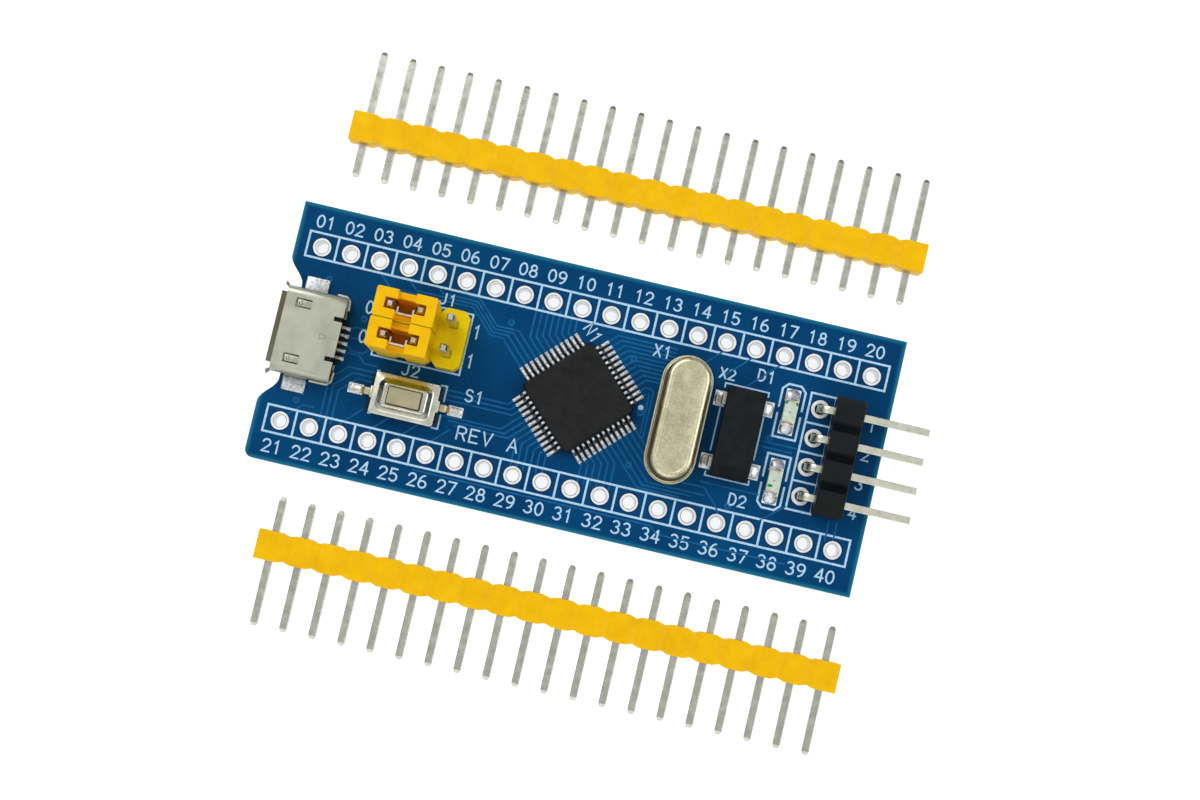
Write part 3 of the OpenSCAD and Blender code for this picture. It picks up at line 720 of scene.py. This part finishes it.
def rounded_ring(cx, cy, width, depth, radius, z, steps=6):
    """Ring of points round a rounded rectangle at one height."""
    ring = []
    radius = min(radius, width / 2, depth / 2)
    corners = [(1, 1, 0), (-1, 1, 90), (-1, -1, 180), (1, -1, 270)]
    for sx, sy, start in corners:
        x = cx + sx * (width / 2 - radius)
        y = cy + sy * (depth / 2 - radius)
        ring += [(px, py, z) for px, py in arc(x, y, radius, radius, start, start + 90, steps)]
    return ring


def stadium_ring(cx, cy, radius, straight, z, steps=24):
    """Ring of points round a shape with straight sides along Y and round ends."""
    ring = []
    for side, start in ((1, 0), (-1, 180)):
        y = cy + side * straight / 2
        ring += [(px, py, z) for px, py in arc(cx, y, radius, radius, start, start + 180, steps)]
    return ring


def add_dome(bm, x, y, rx, ry, z0, height, turn=0.0, rings=4, steps=14, wobble=0.0):
    """Flat-bottomed mound of solder."""
    spin = math.radians(turn)
    made = []
    shape = [1 + wobble * dice.uniform(-1, 1) for _ in range(steps)]
    for k in range(rings + 1):
        lift = math.radians(90 * k / (rings + 0.6))
        ring = []
        for i in range(steps):
            around = 2 * math.pi * i / steps
            dx = rx * math.cos(lift) * math.cos(around) * shape[i]
            dy = ry * math.cos(lift) * math.sin(around) * shape[i]
            ring.append((*turned(x, y, dx, dy, spin), z0 + height * math.sin(lift)))
        made.append(ring)
    skin(bm, made)


def add_stack(bm, cx, cy, width, depth, layers):
    """Block skinned over rounded rectangles, each an inset, a corner radius and a height."""
    skin(bm, [rounded_ring(cx, cy, width - 2 * inset, depth - 2 * inset, radius, z)
              for inset, radius, z in layers])


def add_slab(bm, cx, cy, width, depth, z0, z1, radius, edge):
    """Flat block with rounded corners and softened top and bottom edges."""
    steps = ((edge, z0), (0, z0 + edge), (0, z1 - edge), (edge * 0.3, z1 - edge * 0.3), (edge, z1))
    add_stack(bm, cx, cy, width, depth,
              [(inset, max(radius - inset, 0.01), z) for inset, z in steps])


def add_pillow(bm, cx, cy, width, depth, z0, height, radius, edge):
    """Low mound with a rounded rectangular foot and a nearly flat crown."""
    turns = [math.radians(degrees) for degrees in (0, 30, 55, 75, 90)]
    add_stack(bm, cx, cy, width, depth,
              [(edge * (1 - math.cos(t)), radius, z0 + height * math.sin(t)) for t in turns])


def add_fillet(bm, start, end, width, z0, high, low):
    """Solder that climbs from its outer foot at end to a lead's or cap's face at start."""
    start = Vector(start)
    end = Vector(end)
    across = leftward(end - start)
    rings = []
    for share in (0, 0.15, 0.35, 0.6, 0.82, 0.95, 1.0):
        round_off = math.sqrt(max(1 - max(share - 0.6, 0) ** 2 / 0.17, 0.02))
        half = width / 2 * (0.92 + 0.08 * share) * round_off
        height = (low + (high - low) * (1 - share) ** 1.7) * round_off
        centre = start + (end - start) * share
        ring = []
        for degrees in range(0, 181, 20):
            turn = math.radians(degrees)
            side = half * math.cos(turn)
            lift = height * abs(math.sin(turn)) ** 0.6
            spot = centre + across * side
            ring.append((spot.x, spot.y, z0 + lift))
        rings.append(ring)
    skin(bm, rings)


# ------------------------------------------------------------------ lettering

def glyphs():
    """Plain drafting letters and figures, one unit high, each a list of strokes."""
    bowl_low = arc(0.3, 0.28, 0.3, 0.28, 0, 360, 14)[:-1]
    return {
        "0": [arc(0.3, 0.5, 0.3, 0.5, 0, 360, 18)[:-1]],
        "1": [[(0.12, 0.8), (0.32, 1.0), (0.32, 0.0)]],
        "2": [arc(0.3, 0.72, 0.29, 0.28, 170, -30) + [(0.0, 0.0), (0.6, 0.0)]],
        "3": [arc(0.28, 0.76, 0.26, 0.24, 150, -80), arc(0.28, 0.27, 0.31, 0.27, 80, -150)],
        "4": [[(0.44, 1.0), (0.0, 0.3), (0.62, 0.3)], [(0.46, 0.0), (0.46, 1.0)]],
        "5": [[(0.55, 1.0), (0.08, 1.0), (0.05, 0.56)] + arc(0.28, 0.32, 0.31, 0.32, 118, -145)],
        "6": [bowl_low, arc(0.46, 0.3, 0.46, 0.7, 180, 95)],
        "7": [[(0.0, 1.0), (0.6, 1.0), (0.2, 0.0)]],
        "8": [arc(0.3, 0.77, 0.23, 0.23, 0, 360, 14)[:-1], bowl_low],
        "9": [arc(0.3, 0.72, 0.3, 0.28, 0, 360, 14)[:-1], arc(0.14, 0.7, 0.46, 0.7, 0, -85)],
        "A": [[(0.0, 0.0), (0.32, 1.0), (0.64, 0.0)], [(0.12, 0.34), (0.52, 0.34)]],
        "D": [[(0.0, 0.0), (0.0, 1.0), (0.25, 1.0)] + arc(0.25, 0.5, 0.35, 0.5, 80, -80)
              + [(0.25, 0.0), (0.02, 0.0)]],
        "E": [[(0.55, 1.0), (0.0, 1.0), (0.0, 0.0), (0.55, 0.0)], [(0.04, 0.52), (0.45, 0.52)]],
        "J": [[(0.5, 1.0), (0.5, 0.28)] + arc(0.25, 0.25, 0.25, 0.25, 0, -160)],
        "N": [[(0.0, 0.0), (0.0, 1.0), (0.58, 0.0), (0.58, 1.0)]],
        "R": [[(0.0, 0.0), (0.0, 1.0), (0.3, 1.0)] + arc(0.32, 0.74, 0.25, 0.26, 80, -80)
              + [(0.04, 0.48)], [(0.32, 0.46), (0.58, 0.0)]],
        "S": [arc(0.3, 0.75, 0.27, 0.25, 30, 255) + arc(0.3, 0.26, 0.3, 0.26, 75, -150)],
        "V": [[(0.0, 1.0), (0.3, 0.0), (0.6, 1.0)]],
        "X": [[(0.0, 0.0), (0.6, 1.0)], [(0.0, 1.0), (0.6, 0.0)]],
    }


GLYPHS = glyphs()
CLOSED = {("0", 0), ("6", 0), ("8", 0), ("8", 1), ("9", 0)}
INK_WIDTH = 0.15
SINK = 0.01
INK_T = 0.03
INK_STEP = 0.004


def write(bm, text, x, y, height, turn=0.0, aspect=1.0):
    """Prints text on the board's top, centred on a point."""
    advance = 0.88 * height * aspect
    left = -((len(text) - 1) * advance + 0.62 * height * aspect) / 2
    spin = math.radians(turn)
    for place, letter in enumerate(text):
        for number, stroke in enumerate(GLYPHS.get(letter, [])):
            line = []
            for gx, gy in stroke:
                dx = left + place * advance + gx * height * aspect
                line.append(turned(x, y, dx, (gy - 0.5) * height, spin))
            # crossing strokes differ a little in height, so that no two faces coincide
            high = TOP + INK_T + INK_STEP * number
            add_line(bm, line, INK_WIDTH, TOP - SINK, high, (letter, number) in CLOSED)


# text, place, height and, where they differ from the rest, turn and breadth
LABELS = [("J1", -12.6, 5.72, 0.9), ("J2", -14.3, -0.9, 0.95), ("S1", -8.5, -1.87, 1.0),
          ("REV A", -6.6, -5.15, 1.1, 0.0, 1.15), ("N1", 0.1, 5.75, 1.0, -45),
          ("X1", 6.25, 5.6, 0.95), ("X2", 12.1, 5.0, 0.85), ("D1", 15.4, 5.55, 0.95),
          ("D2", 15.3, -5.35, 0.95)]


def print_lettering():
    """Row numbers, and plain part labels where the board has its printed ones."""
    bm = bmesh.new()
    for i, x in enumerate(ROW_XS):
        write(bm, f"{i + 1:02d}", x - 0.15, 9.78, 1.0)
        write(bm, f"{i + 1 + ROW_PINS:02d}", x - 0.15, -9.9, 1.05)
    for y in (BOOT.y + 1.25, BOOT.y - 1.3):
        write(bm, "0", -18.95, y, 1.05, aspect=0.85)
        write(bm, "1", -9.55, y, 1.1, aspect=0.85)
    for label in LABELS:
        write(bm, *label)
    for i in range(4):
        write(bm, str(4 - i), 25.1, DEBUG_LOW.y + (i + 0.5) * PITCH - 0.4, 0.95)
    add_piece("printed_lettering", bm, "print_ink")


def print_frames():
    """Printed frames round the pin rows, the headers, the button, the crystals and the LEDs."""
    bm = bmesh.new()
    wide = 0.18
    thin = 0.15

    def draw(points, width=thin, closed=False, lift=0.0):
        add_line(bm, points, width, TOP - SINK, TOP + INK_T + lift, closed)

    for low, high in ((6.62, 8.8), (-8.75, -6.45)):
        draw(rectangle(-25.4, low, 25.45, high), wide, True)
        for x in ROW_XS[:-1]:
            draw([(x + PITCH / 2, low + 0.02), (x + PITCH / 2, high - 0.02)], wide, lift=INK_STEP)
    # boot header
    draw(rectangle(-17.9, BASE_LOW.y - 0.12, -10.2, BASE_HIGH.y + 0.1), thin, True)
    # button, open where its leads pass
    for side in (-1, 1):
        inner = BUTTON.x + side * 2.7
        x = BUTTON.x + (3.2 if side > 0 else -2.85)
        draw([(inner, -1.55), (x, -1.55), (x, -2.85)])
        draw([(inner, -5.25), (x, -5.25), (x, -4.05)])
    # clock crystal, open where its leads pass
    left = CLOCK.x - 1.9
    right = CLOCK.x + 1.9
    fine = 0.13
    for x in (left, right):
        draw([(x, -1.65), (x, 2.05)], fine)
    for y, side in ((4.22, 1), (-3.85, -1)):
        foot = y - side * 0.35
        draw([(left, foot), (left, y), (right, y), (right, foot)], fine)
    # LEDs: square at the inner end, rounded at the outer end, broken at mid length
    for led, side in ((POWER_LED, 1), (USER_LED, -1)):
        left = led.x - 1.0
        right = led.x + 1.0
        inner = led.y - side * 2.3
        outer = led.y + side * 2.35
        cut = 0.45
        draw([(left, led.y - side * 0.3), (left, inner), (right, inner),
              (right, led.y - side * 0.3)], wide)
        draw([(left, led.y + side * 0.3), (left, outer - side * cut), (left + cut, outer),
              (right - cut, outer), (right, outer - side * cut), (right, led.y + side * 0.3)], wide)
    # debug header
    left = 19.45
    right = 21.62
    draw(rectangle(left, -5.05, right, 5.1), wide, True)
    for i in range(3):
        y = DEBUG_LOW.y + (i + 1) * PITCH - 0.05
        draw([(left + 0.02, y), (right - 0.02, y)], wide, lift=INK_STEP)
    # first-lead dot of the microcontroller
    add_dome(bm, 5.5, 0.48, 0.26, 0.26, TOP - SINK, INK_T * 1.5, rings=2, steps=20)
    add_piece("printed_frames", bm, "print_ink")


# ------------------------------------------------------------------ tracks and vias

TRACK_T = 0.013
TRACK_STEP = 0.0003
TRACK_WIDTH = 0.15


def lead_tips(side_x, side_y):
    """Outer ends of the microcontroller's leads on one side, from its Y corner outwards."""
    reach = MCU_TIP + 0.15
    tips = []
    for i in range(MCU_LEADS):
        along = ((MCU_LEADS - 1) / 2 - i) * MCU_LEAD_PITCH
        x = (reach - along) / math.sqrt(2)
        y = (reach + along) / math.sqrt(2)
        tips.append((MCU.x + side_x * x, MCU.y + side_y * y))
    return tips


def level_run(tip, side_x, level, *rest):
    """From a lead tip at 45 degrees to a height, then on through the other points."""
    return [tip, (tip[0] + side_x * abs(level - tip[1]), level), *rest]


def row_runs(tips, side_x, side_y, first, step):
    """Short 45 degree runs, each longer than the last, that go straight on to the pin row."""
    routes = []
    for i, (x, y) in enumerate(tips):
        run = first + step * i
        turn_x = x + side_x * run
        routes.append([(x, y), (turn_x, y + side_y * run), (turn_x, side_y * ROW_EDGE)])
    return routes


def top_tracks():
    """Routes of the tracks on the top, each a list of points."""
    # upper left: eight leads to the row, four on a bus past the boot header
    tips = lead_tips(-1, 1)
    routes = row_runs(tips[:8], -1, 1, 0.25, 0.16)
    for k, tip in enumerate(reversed(tips[8:])):
        low = 3.6 + 0.3 * k
        high = 5.55 + 0.3 * k
        bend = -8.4 + 0.12 * k
        hole = ROW_XS[2 + k]
        routes.append(level_run(tip, -1, low, (bend, low), (bend - (high - low), high),
                                (hole + ROW_EDGE - high, high), (hole, ROW_EDGE)))
    # upper right: a comb of level runs that pass under the crystal
    tips = lead_tips(1, 1)
    for tip in tips[:10]:
        level = tip[1] + 0.8
        routes.append(level_run(tip, 1, level, (7.4, level)))
    for k, tip in enumerate(tips[10:]):
        x = 6.25 - 0.3 * k
        level = tip[1] + 0.5
        routes.append(level_run(tip, 1, level, (x - 0.2, level), (x, level - 0.2),
                                (x, -1.9 + 0.3 * k)))
    # lower right: six leads to the row, three to level runs, three under the crystal
    tips = lead_tips(1, -1)
    routes += row_runs(tips[:6], 1, -1, 0.2, 0.2)
    for k, tip in enumerate(tips[6:9]):
        level = -6.2 + 0.32 * k
        routes.append(level_run(tip, 1, level, (10.4 + k, level)))
    for tip in tips[9:]:
        routes.append(level_run(tip, 1, tip[1] - 2.6))
    # lower left: six leads to the row, three level runs, three to the far end of the board
    tips = lead_tips(-1, -1)
    routes += row_runs(tips[:6], -1, -1, 0.2, 0.2)
    for k, tip in enumerate(tips[6:9]):
        level = -4.65 + 0.32 * k
        routes.append(level_run(tip, -1, level, (-9.6 - 0.6 * k, level)))
    drop = 1.35
    for k, tip in enumerate(tips[9:]):
        level = -2.65 + 0.42 * k
        far = -19.9 - 0.5 * k
        routes.append(level_run(tip, -1, level, (far + drop, level), (far, level - drop),
                                (far, -6.9)))
    # runs from the row holes that disappear under the button
    for x in ROW_XS[2:6]:
        routes.append([(x, -ROW_EDGE), (x, -6.6), (x + 1.5, -5.1)])
    x = ROW_XS[0]
    routes.append([(x + 0.5, -ROW_EDGE), (x + 1.6, -5.85), (x + 2.5, -5.85)])
    # socket contacts to the boot header
    routes += [
        [(-20.1, 1.3), (-19.8, 1.6), (-18.2, 1.6)],
        [(-20.1, 0.65), (-18.4, 0.65)],
        [(-20.1, 0.0), (-19.6, -0.45), (-18.6, -0.45), (-17.9, 0.25)],
        [(-20.1, -0.65), (-18.9, -0.65), (-18.3, -1.25), (-17.2, -1.25)],
    ]
    # beyond the crystals
    for k, x in enumerate(ROW_XS[14:17]):
        run = 2.0 + 0.3 * k
        routes.append([(x, ROW_EDGE), (x - run, ROW_EDGE - run)])
    routes += [
        [(11.9, -4.45), (16.9, -4.45)],
        [(9.9, -4.9), (12.3, -4.9), (13.6, -6.2), (ROW_XS[15], -ROW_EDGE)],
        [(16.4, 0.1), (19.2, 0.1)],
        [(16.4, -0.35), (18.9, -0.35)],
        [(17.5, -6.6), (19.4, -4.9)],
        [(23.3, -5.3), (23.3, -ROW_EDGE)],
        [(24.0, -5.3), (24.0, -ROW_EDGE)],
        # along the lower edge
        [(-12.2, -9.1), (8.6, -9.1), (9.2, -9.7), (20.4, -9.7)],
    ]
    return routes


def under_tracks():
    """Routes on the underside, between the chips there and the rows."""
    routes = []
    for k, x in enumerate(ROW_XS[3:9]):
        y = 5.3 - 0.35 * k
        routes.append([(x, ROW_EDGE), (x, y + 0.6), (x + 0.6, y), (1.5 + k, y)])
    for k, x in enumerate(ROW_XS[11:17]):
        y = -5.4 + 0.35 * k
        routes.append([(x, -ROW_EDGE), (x, y - 0.6), (x - 0.6, y), (-1.5 - k, y)])
    for k, x in enumerate(ROW_XS[13:18]):
        routes.append([(x, ROW_EDGE), (x, 5.6), (x - 1.6, 4.0), (x - 1.6, -4.0 - 0.3 * k)])
    for k, x in enumerate(ROW_XS[1:4]):
        routes.append([(x, -ROW_EDGE), (x, -5.4), (x + 1.0, -4.4), (x + 1.0, 3.2 + 0.5 * k)])
    return routes + [
        [(-20.4, 0.4), (-20.4, 1.6)],
        [(-6.0, 4.3), (-4.2, 4.3), (-2.2, 2.3), (2.4, 2.3), (4.4, 4.3)],
        [(-6.0, -1.5), (-3.2, -1.5), (-1.4, -3.3), (5.2, -3.3)],
        [(-6.0, 1.4), (8.5, 1.4)],
    ]


VIAS = [(-19.2, 2.45), (-22.9, 5.1), (4.0, 4.4), (5.6, -4.5), (-6.9, 5.05), (16.8, 0.5),
        (5.55, 0.05), (-23.2, -5.6), (14.6, -6.0)]


def add_tracks():
    """Masked tracks, each a hair higher than the last, so that no two faces coincide."""
    bm = bmesh.new()
    for number, route in enumerate(top_tracks()):
        add_line(bm, route, TRACK_WIDTH, TOP - SINK, TOP + TRACK_T + TRACK_STEP * number)
    add_piece("top_tracks", bm, "track_mask", "solder_mask")
    bm = bmesh.new()
    for number, route in enumerate(under_tracks()):
        add_line(bm, route, TRACK_WIDTH * 1.3, -TRACK_T - TRACK_STEP * number, SINK)
    add_piece("under_tracks", bm, "track_mask", "solder_mask")


def add_turned(bm, x, y, profile, steps=24):
    """Closed ring turned from a closed profile of (radius, height) points."""
    rings = []
    for radius, z in profile:
        circle = arc(0, 0, radius, radius, 0, 360, steps)[:-1]
        rings.append([(x + px, y + py, z) for px, py in circle])
    skin(bm, rings, wrap=True)


def add_collars(name, places, offsets, steps, finish, slot, faces=((TOP, 1), (0.0, -1))):
    """Rings of one closed profile round many points, on both faces of the board. The profile is
    a list of (radius, height above the face)."""
    bm = bmesh.new()
    for x, y in places:
        for z, up in faces:
            add_turned(bm, x, y, [(radius, z + up * rise) for radius, rise in offsets], steps)
    add_piece(name, bm, finish, slot)


def add_rings():
    """Small masked vias, the mask's step round every plated ring with painted shade on it, and a dark
    ring of painted shade on the inner edge of every open plated hole."""
    add_collars("masked_vias", VIAS, [(0.12, -SINK), (0.12, 0.01), (0.17, 0.022), (0.27, 0.02),
                                      (0.31, -SINK)], 18, "track_mask", "solder_mask")
    rows = [(x, side * ROW_Y) for x in ROW_XS for side in (-1, 1)]
    holes = rows + [(BOOT.x + i * PITCH, BOOT.y + j * PITCH / 2) for i in (-1, 0, 1) for j in (-1, 1)]
    debug_x = box_mm("debug_header_pins")[0].x + 0.32
    debug_y = (DEBUG_LOW.y + DEBUG_HIGH.y) / 2
    holes += [(debug_x, debug_y + (i - 1.5) * PITCH) for i in range(4)]
    # painted shade: the mask's step round each ring is a darker blue, for the shade round the ring's
    # opening
    add_collars("mask_steps", holes, [(RING_R + 0.005, -SINK), (RING_R + 0.005, 0.006),
                                      (RING_R + 0.09, 0.02), (RING_R + 0.17, -SINK)],
                32, "mask_step_shade", "solder_mask")
    # painted shade: a dark metal ring where the hole's edge falls into shade
    add_collars("barrel_lips", rows, [(HOLE_R + 0.045, -SINK), (HOLE_R + 0.055, 0.004),
                                      (HOLE_R + 0.085, 0.006), (HOLE_R + 0.095, -SINK)],
                32, "seam_and_hole_shade_metal", "tinned_copper", ((COPPER_TOP, 1), (TOP - COPPER_TOP, -1)))


def add_pad_gaps():
    """Bare laminate between the microcontroller's pads, where the mask is left out, made dark with
    painted shade between the leads.
    """
    inner = 1.05
    outer = 0.1
    width = 0.21
    bm = bmesh.new()
    for side_x, side_y in CHIP_SIDES:
        outward = Vector((side_x, side_y)).normalized()
        tips = [Vector(tip) for tip in lead_tips(side_x, side_y)]
        for near, far in zip(tips, tips[1:]):
            middle = (near + far) / 2
            add_line(bm, [middle - outward * inner, middle - outward * outer], width, TOP - SINK,
                     TOP + TRACK_T)
    add_piece("pad_gaps", bm, "laminate_and_gap_shade", "solder_mask")


# ------------------------------------------------------------------ solder

def add_solder():
    """Solder where each surface-mounted lead, tab and end cap meets its pad."""
    bm = bmesh.new()
    for side_x, side_y in CHIP_SIDES:
        inward = Vector((-side_x, -side_y)).normalized() * 0.32
        for x, y in lead_tips(side_x, side_y):
            add_dome(bm, x + inward.x * 0.2, y + inward.y * 0.2, 0.26, 0.1, SOLDER_Z, 0.1,
                     45 * side_x * side_y, rings=3, steps=10, wobble=0.08)
    add_piece("chip_solder", bm, "solder")

    bm = bmesh.new()
    z0 = SOLDER_Z
    for side in (-1, 1):
        # the socket's tabs are wetted all over
        add_pillow(bm, TAB_X, side * 4.36, 2.06, 1.3, z0, 0.31, 0.12, 0.1)
        # button leads
        foot = BUTTON.x + side * 3.95
        add_fillet(bm, (foot, BUTTON.y), (BUTTON.x + side * 4.98, BUTTON.y), 0.78, z0, 0.26, 0.12)
        # clock crystal leads
        for end in (-1, 1):
            y = CLOCK.y + end * 2.75
            add_fillet(bm, (CLOCK.x + side * 1.72, y), (CLOCK.x + side * 2.56, y), 1.24, z0,
                       0.42, 0.14)
        # LEDs
        for led in (POWER_LED, USER_LED):
            add_fillet(bm, (led.x, led.y + side * 1.02), (led.x, led.y + side * 1.95), 1.24, z0,
                       0.56, 0.2)
    for i in range(5):
        y = (i - 2) * CONTACT_PITCH
        add_fillet(bm, (-20.6, y), (-20.1, y), 0.34, z0, 0.2, 0.08)
    add_piece("pad_solder", bm, "solder")

    bm = bmesh.new()
    for name in ("capacitor_bodies", "resistor_bodies"):
        add_under_fillets(bm, name)
    add_piece("under_solder", bm, "solder")


def islands(node):
    """Boxes of a node's separate solids, as (lowest corner, highest corner) in millimetres."""
    mesh = bmesh.new()
    mesh.from_mesh(NODES[node].data)
    bmesh.ops.remove_doubles(mesh, verts=mesh.verts, dist=0.001 * MM)
    left = set(mesh.verts)
    boxes = []
    while left:
        group = [left.pop()]
        for vert in group:
            for edge in vert.link_edges:
                other = edge.other_vert(vert)
                if other in left:
                    left.remove(other)
                    group.append(other)
        points = [v.co / MM for v in group]
        low = Vector([min(p[k] for p in points) for k in range(3)])
        high = Vector([max(p[k] for p in points) for k in range(3)])
        boxes.append((low, high))
    mesh.free()
    return sorted(boxes, key=lambda b: tuple(b[0]))


def add_under_fillets(bm, node):
    """Solder at both ends of each small chip on the underside."""
    z = COPPER_TOP - TOP
    for low, high in islands(node):
        centre = (low + high) / 2
        size = high - low
        along = Vector((1, 0)) if size.x > size.y else Vector((0, 1))
        reach = max(size.x, size.y) / 2
        for side in (-1, 1):
            start = centre.xy + along * side * (reach + 0.2)
            end = centre.xy + along * side * (reach + 0.66)
            add_fillet(bm, start, end, 0.82, -z + 0.005, -0.42, -0.1)


# ------------------------------------------------------------------ socket, button, crystal, LEDs

def add_socket_details():
    """Latch springs, curled rear corners, dovetail seam, and the comb between the contacts."""
    roof = SOCKET_ROOF
    latch_y = 2.38
    bm = bmesh.new()
    for side in (-1, 1):
        y = side * latch_y
        add_slab(bm, -24.1, y, 1.22, 0.56, roof - 0.3, roof - 0.14, 0.1, 0.03)
        add_dome(bm, -24.42, y, 0.2, 0.2, roof - 0.16, 0.12, rings=3, steps=16)
        add_turned(bm, -23.9, y + side * 0.06, [(0.07, roof - 0.15), (0.07, roof - 0.08),
                                                (0.13, roof - 0.08), (0.16, roof - 0.15)], 18)
    add_piece("socket_latch_springs", bm, "shell_steel")

    bm = bmesh.new()
    for side, start in ((1, -21.6), (-1, -22.3)):
        bend = [(-20.85, side * 3.82), (-20.53, side * 3.5), (-20.47, side * 2.75)]
        add_line(bm, [(start, side * 3.84), *bend], 0.15, COPPER_TOP + 0.02, COPPER_TOP + 1.5)
    add_piece("socket_rear_corners", bm, "cover_steel", "shell_steel")

    bm = bmesh.new()
    dovetail = [(-21.75, 0.1), (-22.25, 0.26), (-22.25, -0.26), (-21.75, -0.1)]
    add_line(bm, [(-20.75, 0), (-21.72, 0)], 0.02, roof - 0.01, roof + 0.005)
    add_line(bm, dovetail, 0.035, roof - 0.01, roof + 0.008, closed=True)
    add_piece("socket_seam", bm, "seam_and_hole_shade_metal", "shell_steel")

    bm = bmesh.new()
    # the black comb is the insulator between the contacts, and also paints the shade that falls
    # between them
    for i in range(6):
        add_slab(bm, -20.76, (i - 2.5) * CONTACT_PITCH, 0.86, 0.3, TOP + 0.05, TOP + 0.41, 0.04, 0.03)
    add_piece("socket_comb", bm, "black_plastic")


def add_button_cover():
    """Pressed cover: one sheet with a raised, open mesa, side skirts and end tabs."""
    low, high = box_mm("reset_cover")
    cx = BUTTON.x
    cy = BUTTON.y
    top = high.z
    sheet = 0.18
    plate = top - 0.55
    profile = [
        (2.96, 1.6, 0.12, top - sheet), (2.94, 1.58, 0.12, top - 0.05), (3.0, 1.64, 0.14, top),
        (3.55, 1.84, 0.22, top), (3.76, 1.98, 0.3, top - 0.02), (3.9, 2.1, 0.36, top - 0.08),
        (4.02, 2.2, 0.4, top - 0.18), (4.42, 2.62, 0.52, plate + 0.12),
        (4.56, 2.78, 0.58, plate + 0.04), (4.76, 3.0, 0.62, plate), (5.4, 3.4, 0.24, plate),
        (5.56, 3.56, 0.2, plate - 0.03), (5.6, 3.6, 0.2, plate - 0.09),
        (5.6, 3.6, 0.2, plate - sheet), (4.5, 2.7, 0.5, plate - sheet),
        (4.2, 2.4, 0.45, plate - 0.05), (3.7, 1.9, 0.3, top - sheet),
    ]
    bm = bmesh.new()
    skin(bm, [rounded_ring(cx, cy, w, d, r, z) for w, d, r, z in profile], wrap=True)
    for side in (-1, 1):
        add_slab(bm, cx, cy + side * 1.71, 5.2, sheet, low.z, plate - sheet + 0.03, 0.06, 0.03)
        add_slab(bm, cx + side * 2.82, cy, 0.36, 1.0, plate - sheet + 0.01, plate - 0.01, 0.1, 0.04)
    cover = add_piece("button_cover", bm, "cover_steel", smooth_angle=50)
    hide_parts("reset_cover")


def add_crystal_can():
    """Drawn can with a rolled rim, a crease above it and a rounded shoulder."""
    low, high = box_mm("crystal_can")
    radius = (high.x - low.x) / 2
    straight = (high.y - low.y) - 2 * radius
    wall = radius - 0.375
    tall = high.z - low.z
    shoulder = 0.42
    profile = [
        (radius - 0.03, 0.0), (radius, 0.03), (radius, 0.16), (radius - 0.02, 0.2),
        (radius - 0.13, 0.21), (radius - 0.15, 0.13), (radius - 0.17, 0.22), (radius - 0.24, 0.26),
        (radius - 0.29, 0.25), (wall + 0.05, 0.14), (wall + 0.01, 0.2), (wall, 0.36),
        (wall, tall - shoulder),
    ]
    for degrees in (20, 40, 60, 80):
        turn = math.radians(degrees)
        profile.append((wall - shoulder + shoulder * math.cos(turn),
                        tall - shoulder + shoulder * math.sin(turn)))
    profile += [(wall - 0.46, tall), (wall - 0.52, tall - 0.02), (wall - 0.6, tall - 0.03),
                (0.4, tall - 0.03)]
    bm = bmesh.new()
    skin(bm, [stadium_ring(CRYSTAL.x, CRYSTAL.y, r, straight, low.z + z) for r, z in profile])
    can = add_piece("crystal_cover_can", bm, "can_metal", smooth_angle=40)
    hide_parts("crystal_can")


def add_led_details():
    """Printed polarity marks, plated end bands and the die under each lens."""
    top = box_mm("power_led_lens")[1].z
    marks = bmesh.new()
    for side in (-1, 1):
        x = POWER_LED.x + side * 0.42
        add_line(marks, [(x, POWER_LED.y + 0.78), (x + side * 0.06, POWER_LED.y + 0.66)], 0.2,
                 top - 0.01, top + 0.012)
    add_line(marks, [(USER_LED.x - 0.4, USER_LED.y - 0.42), (USER_LED.x - 0.2, USER_LED.y - 0.42)],
             0.24, top - 0.01, top + 0.012)
    add_piece("led_marks", marks, "green_ink", "print_ink")
    bands = bmesh.new()
    dies = bmesh.new()
    for led, side in ((POWER_LED, 1), (USER_LED, -1)):
        for end in (-1, 1):
            add_slab(bands, led.x, led.y + end * 0.9, 1.1, 0.16, top - 0.03, top + 0.012, 0.03, 0.01)
        add_slab(dies, led.x - 0.03, led.y - side * 0.05, 0.15, 0.13, top - 0.01, top + 0.01, 0.02,
                 0.004)
    add_piece("led_end_bands", bands, "plated_contacts")
    add_piece("led_dies", dies, "tan_ceramic")


def add_chip_marks():
    """Shallow ejector-pin rings on the microcontroller."""
    top = box_mm("mcu_body")[1].z
    bm = bmesh.new()
    for x, y, r in ((1.0, 2.45, 0.42), (2.0, 0.75, 0.34)):
        add_turned(bm, x, y, [(r, top - 0.01), (r, top + 0.008), (r + 0.07, top + 0.008),
                              (r + 0.09, top - 0.01)], 30)
    add_dome(bm, 0.65, 0.2, 0.05, 0.05, top - 0.005, 0.03, rings=2, steps=10)
    add_piece("chip_ejector_marks", bm, "chip_epoxy")


# ------------------------------------------------------------------ main

def main():
    add_studio()
    MATERIALS.update(make_materials())
    dress_nodes()
    print_frames()
    print_lettering()
    add_tracks()
    add_rings()
    add_pad_gaps()
    add_solder()
    add_socket_details()
    add_button_cover()
    add_crystal_can()
    add_led_details()
    add_chip_marks()


main()
